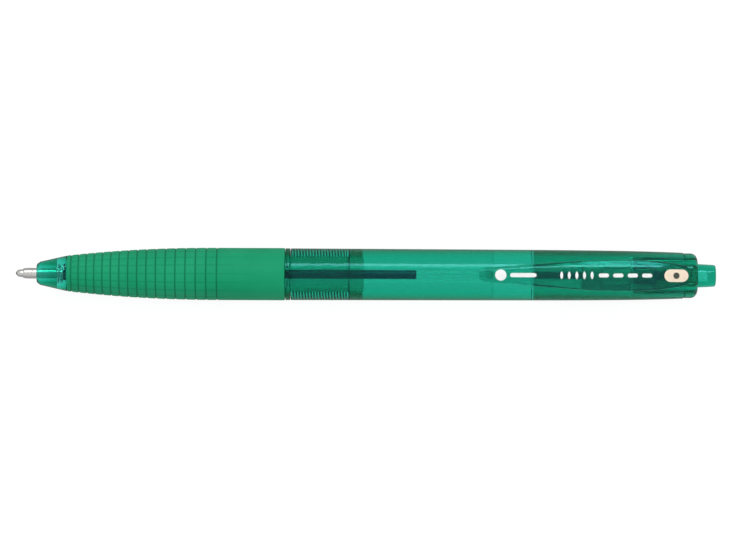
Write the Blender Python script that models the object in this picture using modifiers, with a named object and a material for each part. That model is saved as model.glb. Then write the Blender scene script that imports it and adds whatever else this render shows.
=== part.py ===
"""A click pen with a translucent barrel, a rubber grip and a sprung clip.

The pen lies along X on its grip: the writing tip points to -X, the button to +X and the
clip up. Every piece is placed by its distance from the ball of the tip, along the pen's
own axis, with the ball in its writing position. Lengths are in metres.
"""
import math

import bmesh
import bpy
from mathutils import Matrix, Vector

MM = 0.001

# ---- how round pieces are faceted -------------------------------------------------------
SIDES = 24                        # flats round every turned piece, one of them facing down
SPRING_SIDES = 12                 # straight steps in one turn of the spring

# ---- clearances -------------------------------------------------------------------------
SNUG_GAP = 0.05 * MM              # between pieces that are pressed or screwed together
FACE_GAP = 0.10 * MM              # between faces that meet end to end
RUN_GAP = 0.12 * MM               # round a piece that slides or turns
STOP_GAP = 0.30 * MM              # left in front of a stop

# ---- overall sizes ----------------------------------------------------------------------
GRIP_LENGTH = 45.0 * MM
BARREL_LENGTH = 80.8 * MM
COLLAR_LENGTH = 2.7 * MM
BUTTON_SHOWING = 3.8 * MM         # in the writing position
GRIP_RADIUS = 5.375 * MM          # the thickest place, which the pen lies on
BARREL_FRONT_RADIUS = 5.32 * MM
BARREL_END_RADIUS = 4.70 * MM
COLLAR_RADIUS = 4.60 * MM
BUTTON_RADIUS = 2.40 * MM

# ---- strokes ----------------------------------------------------------------------------
RETRACT_STROKE = 5.5 * MM         # the button comes back this far when the tip is drawn in
PRESS_STROKE = 1.0 * MM           # and goes this much past its writing position

# ---- stations along the pen, from the ball ----------------------------------------------
NOSE_FACE = 4.35 * MM
NOSE_STEP = 4.95 * MM
NOSE_SHOULDER = 10.5 * MM
GRIP_END = NOSE_SHOULDER + GRIP_LENGTH
FLANGE_LENGTH = 1.0 * MM
FLANGE_BACK = GRIP_END + FLANGE_LENGTH
THREAD_LENGTH = 11.8 * MM
NECK_LENGTH = 3.3 * MM            # the plain end of the neck, past the thread
BARREL_FRONT = FLANGE_BACK + FACE_GAP
BARREL_END = BARREL_FRONT + BARREL_LENGTH
COLLAR_FRONT = BARREL_END + FACE_GAP
COLLAR_END = COLLAR_FRONT + COLLAR_LENGTH
BUTTON_END = COLLAR_END + BUTTON_SHOWING

# ---- writing tip and refill -------------------------------------------------------------
BALL_RADIUS = 0.50 * MM
BALL_SHOWING = 0.32 * MM
TIP_LIP_WALL = 0.06 * MM
TIP_NECK_RADIUS = 0.80 * MM
TIP_RADIUS = 1.10 * MM
TIP_BACK = 12.0 * MM
INK_CHANNEL = 0.35 * MM
HOLDER_FRONT = 9.95 * MM
HOLDER_RADIUS = 1.45 * MM
HOLDER_SHOULDER = 21.7 * MM       # the spring pushes here
HOLDER_SHOULDER_RADIUS = 2.15 * MM
HOLDER_SHOULDER_WIDTH = 1.4 * MM
HOLDER_BACK = 27.0 * MM
INK_LENGTH = 60.5 * MM            # how much of the tube is full
HOLDER_SOCKET_RADIUS = 1.75 * MM
TUBE_RADIUS = 1.25 * MM
TUBE_BORE = 0.62 * MM

# ---- return spring ----------------------------------------------------------------------
SPRING_SEAT = 8.6 * MM            # the shoulder inside the nose
SPRING_WIRE = 0.175 * MM          # radius of the wire
SPRING_RADIUS = HOLDER_RADIUS + STOP_GAP + SPRING_WIRE
SPRING_TURNS = 11
SPRING_CLOSED_TURNS = 1.0         # wound tight at each end

# ---- front barrel -----------------------------------------------------------------------
NOSE_RIM_RADIUS = 1.87 * MM
NOSE_LIP_RADIUS = 2.13 * MM
NOSE_CONE_RADIUS = 2.38 * MM
NOSE_BACK_RADIUS = 3.66 * MM
SPRING_CHAMBER = HOLDER_SHOULDER_RADIUS + STOP_GAP
CHAMBER_LENGTH = 29.4 * MM
CORE_FRONT_RADIUS = 3.05 * MM
CORE_CONE = 23.5 * MM             # length over which the core under the grip widens
GRIP_WALL = 0.975 * MM            # rubber over the straight part of the core
CHAMBER_STEP = 0.23 * MM          # the neck's bore is wider than the spring chamber
NECK_BORE = SPRING_CHAMBER + CHAMBER_STEP
FLANGE_RADIUS = 5.33 * MM
THREAD_RADIUS = 3.75 * MM         # the thread's mean radius
NECK_RADIUS = 3.45 * MM

# ---- grip -------------------------------------------------------------------------------
GRIP_SWELL = 2.15                 # power of the curve from the nose to full thickness
GRIP_SWELL_LENGTH = 31.5 * MM
GRIP_COLLAR = 1.0 * MM            # smooth band in front of the first groove
GROOVES = 17
GROOVE_FIRST_PITCH = 1.55 * MM
GROOVE_PITCH_GROWTH = 0.043 * MM
GROOVE_WIDTH = 0.36 * MM
GROOVE_DEPTH = 0.16 * MM

# ---- rear barrel ------------------------------------------------------------------------
BARREL_BORE = NECK_RADIUS + RUN_GAP
BARREL_TAPER = 0.17 * MM          # even taper from front to back
COUNTERBORE_LENGTH = 39.3 * MM    # wider bore at the back, for the tail sleeve
BARREL_STEPS = 14

# ---- tail cap ---------------------------------------------------------------------------
STOP_RIBS = 4
STOP_RIB_LENGTH = 12.2 * MM
STOP_RIB_HEIGHT = 0.45 * MM
STOP_RIB_RADIUS = BUTTON_RADIUS + FACE_GAP
SLEEVE_LENGTH = 31.0 * MM
SLEEVE_WALL = 0.95 * MM
SLEEVE_BORE = STOP_RIB_RADIUS + STOP_RIB_HEIGHT
SLEEVE_RADIUS = SLEEVE_BORE + SLEEVE_WALL
STOP_GROOVE_WIDTH = 1.6 * MM
END_WALL = 1.1 * MM
WALL_FRONT = COLLAR_END - END_WALL
STOP_RIB_FRONT = WALL_FRONT - STOP_RIB_LENGTH
COLLAR_ROUND = 1.4 * MM

# ---- rotary cam -------------------------------------------------------------------------
CAM_STANDOFF = 0.5 * MM           # from the stop ribs to the cam's ribs
CAM_BACK = STOP_RIB_FRONT - CAM_STANDOFF
CAM_LENGTH = 9.9 * MM
CAM_FRONT = CAM_BACK - CAM_LENGTH
REFILL_SEAT = 2.5 * MM            # how deep the tube sits in the cam
REFILL_END = CAM_FRONT + REFILL_SEAT
CAM_COLLAR_LENGTH = 4.0 * MM
CAM_RIB_HEIGHT = 0.38 * MM
CAM_RIB_RADIUS = STOP_RIB_RADIUS - RUN_GAP - SNUG_GAP
CAM_CORE_RADIUS = CAM_RIB_RADIUS - CAM_RIB_HEIGHT
CAM_RIB_LENGTH = 5.5 * MM
CAM_RIB_WIDTH = 0.9 * MM
CAM_PIN_RADIUS = 1.15 * MM
CAM_PIN_LENGTH = 4.6 * MM
CAM_TEETH = 8
TOOTH_HEIGHT = 0.5 * MM

# ---- push button ------------------------------------------------------------------------
CROWN_GAP = 0.45 * MM             # from the cam's teeth to the button's
CROWN_STEP = 0.20 * MM            # the crown is this much slimmer than the button
CROWN_RADIUS = BUTTON_RADIUS - CROWN_STEP
CROWN_LENGTH = 2.0 * MM
BUTTON_BORE = 1.40 * MM
BUTTON_TIP_RADIUS = BUTTON_RADIUS - 0.15 * MM
BUTTON_ROUND = 0.6 * MM
BUTTON_CROWN_WALL = 1.6 * MM      # the closed end under the thumb
FIN_LENGTH = 4.6 * MM
FIN_WIDTH = 1.2 * MM

# ---- clip -------------------------------------------------------------------------------
CLIP_LENGTH = 43.9 * MM
CLIP_BACK = COLLAR_END - 1.2 * MM
CLIP_FRONT = CLIP_BACK - CLIP_LENGTH
CLIP_WIDEST = 0.67                # share of its length, from the front
CLIP_FRONT_HALF = 1.48 * MM
CLIP_WIDE_HALF = 3.20 * MM
CLIP_BACK_HALF = 1.65 * MM
CLIP_HIGH = CLIP_BACK - 17.0 * MM  # station of the highest place
CLIP_HIGH_RISE = 2.62 * MM        # top of the clip over the barrel, at that place
CLIP_FRONT_RISE = 1.53 * MM       # and at its front end
CLIP_BACK_RISE = 0.80 * MM        # top of the clip's root over the collar
CLIP_SAG = 0.90 * MM              # the widest section's edges hang this much
CLIP_THICKNESS = 1.10 * MM
CLIP_STEPS_LONG = 30
CLIP_STEPS_WIDE = 6
BOSS_STATION = CLIP_FRONT + 2.2 * MM
BOSS_RADIUS = 0.85 * MM
HEEL_STATION = CLIP_BACK - 0.8 * MM
HEEL_RADIUS = 0.75 * MM
HEEL_HEIGHT = COLLAR_RADIUS - 0.35 * MM
HEEL_HALF_WIDTH = 1.45 * MM

# ---- colours and finishes ---------------------------------------------------------------
FINISHES = {
    "green_plastic": ((0.010, 0.300, 0.190, 1.0), 0.12, 0.0),
    "green_rubber": ((0.006, 0.255, 0.125, 1.0), 0.55, 0.0),
    "clear_plastic": ((0.700, 0.850, 0.800, 1.0), 0.15, 0.0),
    "white_plastic": ((0.750, 0.760, 0.740, 1.0), 0.40, 0.0),
    "dark_plastic": ((0.004, 0.013, 0.022, 1.0), 0.35, 0.0),
    "ink": ((0.010, 0.030, 0.060, 1.0), 0.30, 0.0),
    "nickel": ((0.700, 0.660, 0.560, 1.0), 0.22, 1.0),
    "carbide": ((0.350, 0.350, 0.370, 1.0), 0.15, 1.0),
    "spring_steel": ((0.600, 0.600, 0.620, 1.0), 0.30, 1.0),
}


# ---- scene ------------------------------------------------------------------------------
def clear_scene():
    for old in list(bpy.data.objects):
        bpy.data.objects.remove(old, do_unlink=True)


def new_collection(name):
    collection = bpy.data.collections.new(name)
    bpy.context.scene.collection.children.link(collection)
    return collection


def pen_axis():
    """An empty at the ball whose own Z runs along the pen and whose X points down."""
    axis = bpy.data.objects.new("pen_axis", None)
    axis.location = (-BUTTON_END / 2, 0, GRIP_RADIUS)
    axis.rotation_euler = (0, math.radians(90), 0)
    PARTS.objects.link(axis)
    return axis


def finish(name):
    """The named material, made once and shared by every piece with that finish."""
    material = bpy.data.materials.get(name)
    if material is None:
        colour, roughness, metallic = FINISHES[name]
        material = bpy.data.materials.new(name)
        material.use_nodes = True
        shader = material.node_tree.nodes["Principled BSDF"]
        shader.inputs["Base Color"].default_value = colour
        shader.inputs["Roughness"].default_value = roughness
        shader.inputs["Metallic"].default_value = metallic
    return material


def place(name, data, collection, station=0.0):
    """An object on the pen's axis, its origin at the given distance from the ball."""
    obj = bpy.data.objects.new(name, data)
    collection.objects.link(obj)
    obj.parent = AXIS
    obj.location = (0, 0, station)
    return obj


# ---- turned pieces ----------------------------------------------------------------------
def solid_of(outer):
    """The outline of a turned solid from its outer points, given from the tip backwards."""
    first, last = outer[0], outer[-1]
    return [(0, last[1])] + outer[::-1] + [(0, first[1])], False


def tube_of(outer, inner):
    """The outline of a turned tube from its outer and inner points, both tip to button."""
    return outer[::-1] + inner, True


def turned(name, outline, material, collection=None, station=0.0):
    """A piece turned on the pen's axis. Radii are to the flats, so a fit is what it says."""
    points, closed = outline
    half_step = math.pi / SIDES
    mesh = bpy.data.meshes.new(name)
    build = bmesh.new()
    to_corner = 1 / math.cos(half_step)
    verts = []
    for radius, height in points:
        corner = radius * to_corner
        across, aside = corner * math.cos(half_step), corner * math.sin(half_step)
        verts.append(build.verts.new((across, aside, height - station)))
    for first, second in zip(verts, verts[1:]):
        build.edges.new((first, second))
    if closed:
        build.edges.new((verts[-1], verts[0]))
    build.to_mesh(mesh)
    build.free()
    mesh.materials.append(finish(material))
    obj = place(name, mesh, collection or PARTS, station)
    screw = obj.modifiers.new("turn", "SCREW")
    screw.steps = screw.render_steps = SIDES
    screw.use_merge_vertices = True
    screw.merge_threshold = 1e-6
    screw.use_smooth_shade = False
    return obj


def arc(centre, radius, start, end, steps):
    """Points on an arc, as (radius, station) pairs. Angles are in degrees from +radius."""
    points = []
    for index in range(steps + 1):
        angle = math.radians(start + (end - start) * index / steps)
        points.append((centre[0] + radius * math.cos(angle),
                       centre[1] + radius * math.sin(angle)))
    return points


# ---- cutters and joined lumps -----------------------------------------------------------
def hide_tool(obj):
    obj.hide_render = True
    obj.display_type = "WIRE"


def mesh_tool(name, build, station=0.0):
    bmesh.ops.recalc_face_normals(build, faces=build.faces)
    mesh = bpy.data.meshes.new(name)
    build.to_mesh(mesh)
    build.free()
    tool = place(name, mesh, TOOLS, station)
    hide_tool(tool)
    return tool


def add_box(build, low, high, turn=0.0):
    """A box between two corners of the pen's own frame, turned about the pen's axis."""
    size = Vector(high) - Vector(low)
    middle = (Vector(high) + Vector(low)) / 2
    matrix = (Matrix.Rotation(turn, 4, "Z") @ Matrix.Translation(middle)
              @ Matrix.Diagonal((*size, 1)))
    bmesh.ops.create_cube(build, size=1.0, matrix=matrix)


def box_ring(name, count, inner, outer, width, front, back, first_turn=0.0):
    """Boxes standing round the axis, such as ribs, fins or the grooves between them."""
    build = bmesh.new()
    for index in range(count):
        turn = first_turn + index * math.tau / count
        add_box(build, (inner, -width / 2, front), (outer, width / 2, back), turn)
    return mesh_tool(name, build)


def toothed_end(name, station, length, turn):
    """A round cutter whose front or back is a ring of teeth. A negative length cuts forward."""
    radius = SLEEVE_BORE + STOP_GAP
    build = bmesh.new()
    bmesh.ops.create_cone(build, cap_ends=True, cap_tris=True, segments=2 * CAM_TEETH,
                          radius1=radius, radius2=radius, depth=abs(length))
    spin = Matrix.Rotation(turn, 4, "Z")
    near = -abs(length) / 2
    rim = sorted((v for v in build.verts if v.co.z < 0 and v.co.xy.length > radius / 2),
                 key=lambda v: math.atan2(v.co.y, v.co.x))
    for index, vert in enumerate(rim):
        vert.co.z = near + (TOOTH_HEIGHT / 2 if index % 2 else -TOOTH_HEIGHT / 2)
    flip = Matrix.Diagonal((1, 1, math.copysign(1, length), 1))
    move = Matrix.Translation((0, 0, station + length / 2))
    bmesh.ops.transform(build, matrix=move @ flip @ spin, verts=build.verts)
    return mesh_tool(name, build)


def boolean(obj, tool, operation):
    modifier = obj.modifiers.new(tool.name, "BOOLEAN")
    modifier.operation = operation
    modifier.solver = "EXACT"
    modifier.object = tool


# ---- refill -----------------------------------------------------------------------------
def make_ball():
    mesh = bpy.data.meshes.new("writing_ball")
    build = bmesh.new()
    bmesh.ops.create_uvsphere(build, u_segments=12, v_segments=8, radius=BALL_RADIUS)
    build.to_mesh(mesh)
    build.free()
    mesh.materials.append(finish("carbide"))
    place("writing_ball", mesh, PARTS, BALL_RADIUS)


def make_tip():
    seat = BALL_RADIUS + SNUG_GAP
    lip = seat + TIP_LIP_WALL
    neck_front, neck_back = 1.15 * MM, 1.5 * MM
    body_front, body_full = 1.75 * MM, 2.6 * MM
    seat_bottom = 2 * BALL_RADIUS + SNUG_GAP
    outer = [(lip, BALL_SHOWING), (TIP_NECK_RADIUS, neck_front), (TIP_NECK_RADIUS, neck_back),
             (TIP_RADIUS - 0.08 * MM, body_front), (TIP_RADIUS, body_full),
             (TIP_RADIUS, TIP_BACK)]
    inner = [(seat, BALL_SHOWING), (seat, seat_bottom), (INK_CHANNEL, seat_bottom + BALL_RADIUS),
             (INK_CHANNEL, TIP_BACK)]
    turned("writing_tip", tube_of(outer, inner), "nickel")


def make_tip_holder():
    shoulder_back = HOLDER_SHOULDER + HOLDER_SHOULDER_WIDTH
    bevel = 0.2 * MM
    tip_socket = TIP_BACK + FACE_GAP
    outer = [(HOLDER_RADIUS - bevel, HOLDER_FRONT), (HOLDER_RADIUS, HOLDER_FRONT + bevel),
             (HOLDER_RADIUS, HOLDER_SHOULDER), (HOLDER_SHOULDER_RADIUS, HOLDER_SHOULDER),
             (HOLDER_SHOULDER_RADIUS, shoulder_back), (HOLDER_SOCKET_RADIUS, shoulder_back),
             (HOLDER_SOCKET_RADIUS, HOLDER_BACK)]
    inner = [(TIP_RADIUS + SNUG_GAP, HOLDER_FRONT), (TIP_RADIUS + SNUG_GAP, tip_socket),
             (INK_CHANNEL, tip_socket), (INK_CHANNEL, HOLDER_SHOULDER),
             (TUBE_RADIUS + SNUG_GAP, HOLDER_SHOULDER), (TUBE_RADIUS + SNUG_GAP, HOLDER_BACK)]
    turned("tip_holder", tube_of(outer, inner), "dark_plastic")


def make_ink_tube():
    front = HOLDER_SHOULDER + FACE_GAP
    outer = [(TUBE_RADIUS, front), (TUBE_RADIUS, REFILL_END)]
    inner = [(TUBE_BORE, front), (TUBE_BORE, REFILL_END)]
    turned("ink_tube", tube_of(outer, inner), "clear_plastic")
    ink = TUBE_BORE - SNUG_GAP
    column = [(ink, front + FACE_GAP), (ink, front + FACE_GAP + INK_LENGTH)]
    turned("ink_column", solid_of(column), "ink")


# ---- return spring ----------------------------------------------------------------------
def spring_height(turn, low, high):
    """Height of the wire after a number of turns, with the end turns wound tight."""
    tight = 2.2 * SPRING_WIRE
    open_turns = SPRING_TURNS - 2 * SPRING_CLOSED_TURNS
    rise = SPRING_CLOSED_TURNS * tight
    if turn < SPRING_CLOSED_TURNS:
        return low + turn * tight
    if turn > SPRING_TURNS - SPRING_CLOSED_TURNS:
        return high - (SPRING_TURNS - turn) * tight
    return low + rise + (turn - SPRING_CLOSED_TURNS) / open_turns * (high - low - 2 * rise)


def make_spring():
    low = SPRING_SEAT + FACE_GAP + SPRING_WIRE
    high = HOLDER_SHOULDER - FACE_GAP - SPRING_WIRE
    curve = bpy.data.curves.new("return_spring", "CURVE")
    curve.dimensions = "3D"
    curve.bevel_depth = SPRING_WIRE
    curve.bevel_resolution = 2
    curve.use_fill_caps = True
    count = SPRING_TURNS * SPRING_SIDES + 1
    spline = curve.splines.new("POLY")
    spline.points.add(count - 1)
    for index, point in enumerate(spline.points):
        turn = index / SPRING_SIDES
        angle = turn * math.tau
        point.co = (SPRING_RADIUS * math.cos(angle), SPRING_RADIUS * math.sin(angle),
                    spring_height(turn, low, high), 1)
    curve.materials.append(finish("spring_steel"))
    place("return_spring", curve, PARTS)


# ---- front barrel and grip --------------------------------------------------------------
def make_front_barrel():
    thread_back = FLANGE_BACK + THREAD_LENGTH
    neck_end = thread_back + NECK_LENGTH
    hole = TIP_RADIUS + RUN_GAP
    relief = 0.25 * MM
    core_radius = GRIP_RADIUS - GRIP_WALL - SNUG_GAP
    chamber_end = SPRING_SEAT + CHAMBER_LENGTH
    outer = [(NOSE_RIM_RADIUS, NOSE_FACE), (NOSE_LIP_RADIUS, NOSE_FACE + relief),
             (NOSE_LIP_RADIUS, NOSE_STEP - relief), (NOSE_CONE_RADIUS, NOSE_STEP),
             (NOSE_BACK_RADIUS, NOSE_SHOULDER), (CORE_FRONT_RADIUS, NOSE_SHOULDER),
             (core_radius, NOSE_SHOULDER + CORE_CONE), (core_radius, GRIP_END),
             (FLANGE_RADIUS, GRIP_END),
             (FLANGE_RADIUS, FLANGE_BACK), (THREAD_RADIUS, FLANGE_BACK),
             (THREAD_RADIUS, thread_back), (NECK_RADIUS, thread_back),
             (NECK_RADIUS, neck_end)]
    inner = [(hole, NOSE_FACE), (hole, SPRING_SEAT), (SPRING_CHAMBER, SPRING_SEAT),
             (SPRING_CHAMBER, chamber_end), (NECK_BORE, chamber_end), (NECK_BORE, neck_end)]
    turned("front_barrel", tube_of(outer, inner), "green_plastic")


def grip_radius(station):
    """The grip swells from the nose and is straight after that."""
    share = min((station - NOSE_SHOULDER) / GRIP_SWELL_LENGTH, 1.0)
    return GRIP_RADIUS - (GRIP_RADIUS - NOSE_BACK_RADIUS) * (1 - share) ** GRIP_SWELL


def groove_stations():
    """The grooves lie further apart towards the back."""
    station = NOSE_SHOULDER + GRIP_COLLAR
    stations = []
    for index in range(GROOVES):
        stations.append(station)
        station += GROOVE_FIRST_PITCH + index * GROOVE_PITCH_GROWTH
    return stations


def make_grip():
    front, back = NOSE_SHOULDER + FACE_GAP, GRIP_END - FACE_GAP
    rounding = 0.15 * MM
    outer = [(grip_radius(front) - rounding, front), (grip_radius(front), front + rounding)]
    for station in groove_stations():
        edge = GROOVE_WIDTH / 2
        outer += [(grip_radius(station - edge), station - edge),
                  (grip_radius(station) - GROOVE_DEPTH, station),
                  (grip_radius(station + edge), station + edge)]
    outer += [(GRIP_RADIUS, NOSE_SHOULDER + GRIP_SWELL_LENGTH), (GRIP_RADIUS, back - rounding),
              (GRIP_RADIUS - rounding, back)]
    bore = GRIP_RADIUS - GRIP_WALL
    inner = [(CORE_FRONT_RADIUS + SNUG_GAP, front), (bore, NOSE_SHOULDER + CORE_CONE),
             (bore, back)]
    turned("grip_sleeve", tube_of(outer, inner), "green_rubber")


# ---- rear barrel ------------------------------------------------------------------------
def barrel_radius(station):
    """An even taper, with a rounder fall close to the tail."""
    share = (station - BARREL_FRONT) / BARREL_LENGTH
    fall = BARREL_FRONT_RADIUS - BARREL_END_RADIUS - BARREL_TAPER
    return BARREL_FRONT_RADIUS - BARREL_TAPER * share - fall * max(share, 0) ** 8


def make_rear_barrel():
    front, back = BARREL_FRONT, BARREL_END
    thread_end = front + THREAD_LENGTH + FACE_GAP
    counterbore = back - COUNTERBORE_LENGTH
    edge = 0.15 * MM
    outer = [(barrel_radius(front) - edge, front)]
    for index in range(BARREL_STEPS + 1):
        station = front + edge + (back - front - 2 * edge) * (index / BARREL_STEPS) ** 0.6
        outer.append((barrel_radius(station), station))
    outer.append((barrel_radius(back) - edge, back))
    thread_bore = THREAD_RADIUS + FACE_GAP
    wide_bore = SLEEVE_RADIUS + SNUG_GAP
    inner = [(thread_bore, front), (thread_bore, thread_end), (BARREL_BORE, thread_end),
             (BARREL_BORE, counterbore), (wide_bore, counterbore), (wide_bore, back)]
    turned("rear_barrel", tube_of(outer, inner), "green_plastic")


# ---- tail cap ---------------------------------------------------------------------------
def make_tail_cap():
    """The end collar with its long inner sleeve, which guides the button and the cam."""
    sleeve_front = BARREL_END - SLEEVE_LENGTH
    hole = BUTTON_RADIUS + RUN_GAP
    corner = (COLLAR_RADIUS - COLLAR_ROUND, COLLAR_END - COLLAR_ROUND)
    outer = [(SLEEVE_RADIUS, sleeve_front), (SLEEVE_RADIUS, COLLAR_FRONT),
             (COLLAR_RADIUS, COLLAR_FRONT)]
    outer += arc(corner, COLLAR_ROUND, 0, 90, 4)
    inner = [(SLEEVE_BORE, sleeve_front), (SLEEVE_BORE, STOP_RIB_FRONT),
             (STOP_RIB_RADIUS, STOP_RIB_FRONT), (STOP_RIB_RADIUS, WALL_FRONT),
             (hole, WALL_FRONT), (hole, COLLAR_END)]
    cap = turned("tail_cap", tube_of(outer, inner), "green_plastic")
    grooves = box_ring("stop_grooves", STOP_RIBS, CAM_CORE_RADIUS, SLEEVE_BORE,
                       STOP_GROOVE_WIDTH, STOP_RIB_FRONT - TOOTH_HEIGHT, WALL_FRONT)
    boolean(cap, grooves, "DIFFERENCE")
    slot = bmesh.new()
    slot_floor = HEEL_HEIGHT - HEEL_RADIUS - FACE_GAP
    half = HEEL_HALF_WIDTH + 2 * FACE_GAP
    slot_back = HEEL_STATION + HEEL_RADIUS + 2 * FACE_GAP
    slot_top = COLLAR_RADIUS + CLIP_BACK_RISE
    add_box(slot, (-slot_top, -half, COLLAR_FRONT - STOP_GAP), (-slot_floor, half, slot_back))
    boolean(cap, mesh_tool("clip_slot", slot), "DIFFERENCE")


# ---- rotary cam and push button ---------------------------------------------------------
def make_cam():
    socket = TUBE_RADIUS + SNUG_GAP
    socket_end = REFILL_END + FACE_GAP
    collar = SLEEVE_BORE - RUN_GAP - SNUG_GAP
    collar_back = CAM_FRONT + CAM_COLLAR_LENGTH
    teeth_back = CAM_BACK + TOOTH_HEIGHT
    bevel = 0.3 * MM
    points = [(0, teeth_back), (CAM_CORE_RADIUS, teeth_back), (CAM_CORE_RADIUS, collar_back),
              (collar, collar_back - bevel), (collar, CAM_FRONT), (socket, CAM_FRONT),
              (socket, socket_end), (0, socket_end)]
    cam = turned("rotary_cam", (points, False), "white_plastic")
    ribs = box_ring("cam_ribs", STOP_RIBS, CAM_CORE_RADIUS - bevel, CAM_RIB_RADIUS,
                    CAM_RIB_WIDTH, CAM_BACK - CAM_RIB_LENGTH, CAM_BACK + TOOTH_HEIGHT / 2,
                    math.pi / STOP_RIBS)
    boolean(cam, ribs, "UNION")
    teeth = toothed_end("cam_teeth", CAM_BACK, CAM_PIN_LENGTH, math.pi / CAM_TEETH / 2)
    boolean(cam, teeth, "DIFFERENCE")
    pin_points = [(CAM_PIN_RADIUS, CAM_BACK - bevel),
                  (CAM_PIN_RADIUS, CAM_BACK + CAM_PIN_LENGTH)]
    pin = turned("cam_pin", solid_of(pin_points), "white_plastic", TOOLS)
    hide_tool(pin)
    boolean(cam, pin, "UNION")


def make_button():
    crown = CAM_BACK + TOOTH_HEIGHT / 2 + CROWN_GAP
    shank = crown + CROWN_LENGTH
    bore_end = BUTTON_END - BUTTON_CROWN_WALL
    taper_end = BUTTON_END - BUTTON_ROUND
    corner = (BUTTON_TIP_RADIUS - BUTTON_ROUND, taper_end)
    outer = [(CROWN_RADIUS, crown - TOOTH_HEIGHT), (CROWN_RADIUS, shank),
             (BUTTON_RADIUS, shank), (BUTTON_RADIUS, COLLAR_END + FACE_GAP)]
    outer += arc(corner, BUTTON_ROUND, 0, 90, 3)
    top = outer[-1][1]
    bottom = crown - TOOTH_HEIGHT
    points = [(0, top)] + outer[::-1] + [(BUTTON_BORE, bottom), (BUTTON_BORE, bore_end),
                                         (0, bore_end)]
    button = turned("push_button", (points, False), "green_plastic")
    teeth = toothed_end("crown_teeth", crown, -CROWN_LENGTH, 0.0)
    boolean(button, teeth, "DIFFERENCE")
    fin_back = WALL_FRONT - RETRACT_STROKE - STOP_GAP
    fins = box_ring("button_fins", STOP_RIBS, CROWN_RADIUS - STOP_GAP, SLEEVE_BORE - RUN_GAP,
                    FIN_WIDTH, fin_back - FIN_LENGTH, fin_back)
    boolean(button, fins, "UNION")


# ---- clip -------------------------------------------------------------------------------
def clip_half_width(station):
    """A long leaf, widest near the back, with round ends."""
    share = (station - CLIP_FRONT) / (CLIP_BACK - CLIP_FRONT)
    if share < CLIP_WIDEST:
        rise = math.sin(math.pi / 2 * share / CLIP_WIDEST) ** 1.4
        half = CLIP_FRONT_HALF + (CLIP_WIDE_HALF - CLIP_FRONT_HALF) * rise
    else:
        fall = ((share - CLIP_WIDEST) / (1 - CLIP_WIDEST)) ** 2.5
        half = CLIP_WIDE_HALF - (CLIP_WIDE_HALF - CLIP_BACK_HALF) * fall
    for end, radius in ((CLIP_FRONT, CLIP_FRONT_HALF), (CLIP_BACK, CLIP_BACK_HALF)):
        inside = abs(station - end)
        if inside < radius:
            half *= math.sqrt(max(1 - (1 - inside / radius) ** 2, 0))
    return half


def clip_crown(station):
    """Height of the clip's top above the pen's axis, along its middle."""
    highest = barrel_radius(CLIP_HIGH) + CLIP_HIGH_RISE
    if station < CLIP_HIGH:
        share = (CLIP_HIGH - station) / (CLIP_HIGH - CLIP_FRONT)
        front = barrel_radius(CLIP_FRONT) + CLIP_FRONT_RISE
        return highest - (highest - front) * share ** 2
    share = (station - CLIP_HIGH) / (CLIP_BACK - CLIP_HIGH)
    back = COLLAR_RADIUS + CLIP_BACK_RISE
    return highest - (highest - back) * share ** 2.6


def clip_station(share):
    """Stations along the clip, closer together in its round ends."""
    eased = (1 - math.cos(math.pi * share)) / 2
    inset = 0.03 * MM
    mixed = 0.5 * share + 0.5 * eased
    return CLIP_FRONT + inset + (CLIP_BACK - CLIP_FRONT - 2 * inset) * mixed


def make_clip():
    """An arched leaf, with a boss that presses on the barrel and a heel in the tail cap."""
    mesh = bpy.data.meshes.new("clip")
    build = bmesh.new()
    bmesh.ops.create_grid(build, x_segments=CLIP_STEPS_LONG, y_segments=CLIP_STEPS_WIDE,
                          size=0.5)
    for vert in build.verts:
        station = clip_station(vert.co.x + 0.5)
        across = 2 * vert.co.y
        half = clip_half_width(station)
        sag = CLIP_SAG * (half / CLIP_WIDE_HALF) ** 2 * across ** 2
        vert.co = (-(clip_crown(station) - sag), across * half, station - HEEL_STATION)
    bmesh.ops.recalc_face_normals(build, faces=build.faces)
    if sum(face.normal.x for face in build.faces) > 0:
        bmesh.ops.reverse_faces(build, faces=build.faces)
    build.to_mesh(mesh)
    build.free()
    mesh.materials.append(finish("green_plastic"))
    clip = place("clip", mesh, PARTS, HEEL_STATION)
    thicken = clip.modifiers.new("thickness", "SOLIDIFY")
    thicken.thickness = CLIP_THICKNESS
    thicken.offset = -1
    boolean(clip, clip_boss(), "UNION")
    boolean(clip, clip_heel(), "UNION")


def clip_boss():
    """A short peg under the clip's front, with a flat foot just clear of the barrel."""
    foot = barrel_radius(BOSS_STATION) + FACE_GAP
    head = clip_crown(BOSS_STATION) - CLIP_THICKNESS / 2
    build = bmesh.new()
    middle = Matrix.Translation((-(foot + head) / 2, 0, BOSS_STATION))
    lie_down = Matrix.Rotation(math.radians(90), 4, "Y")
    bmesh.ops.create_cone(build, cap_ends=True, segments=12, radius1=BOSS_RADIUS,
                          radius2=0.8 * BOSS_RADIUS, depth=head - foot,
                          matrix=middle @ lie_down)
    return mesh_tool("clip_boss", build)


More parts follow.
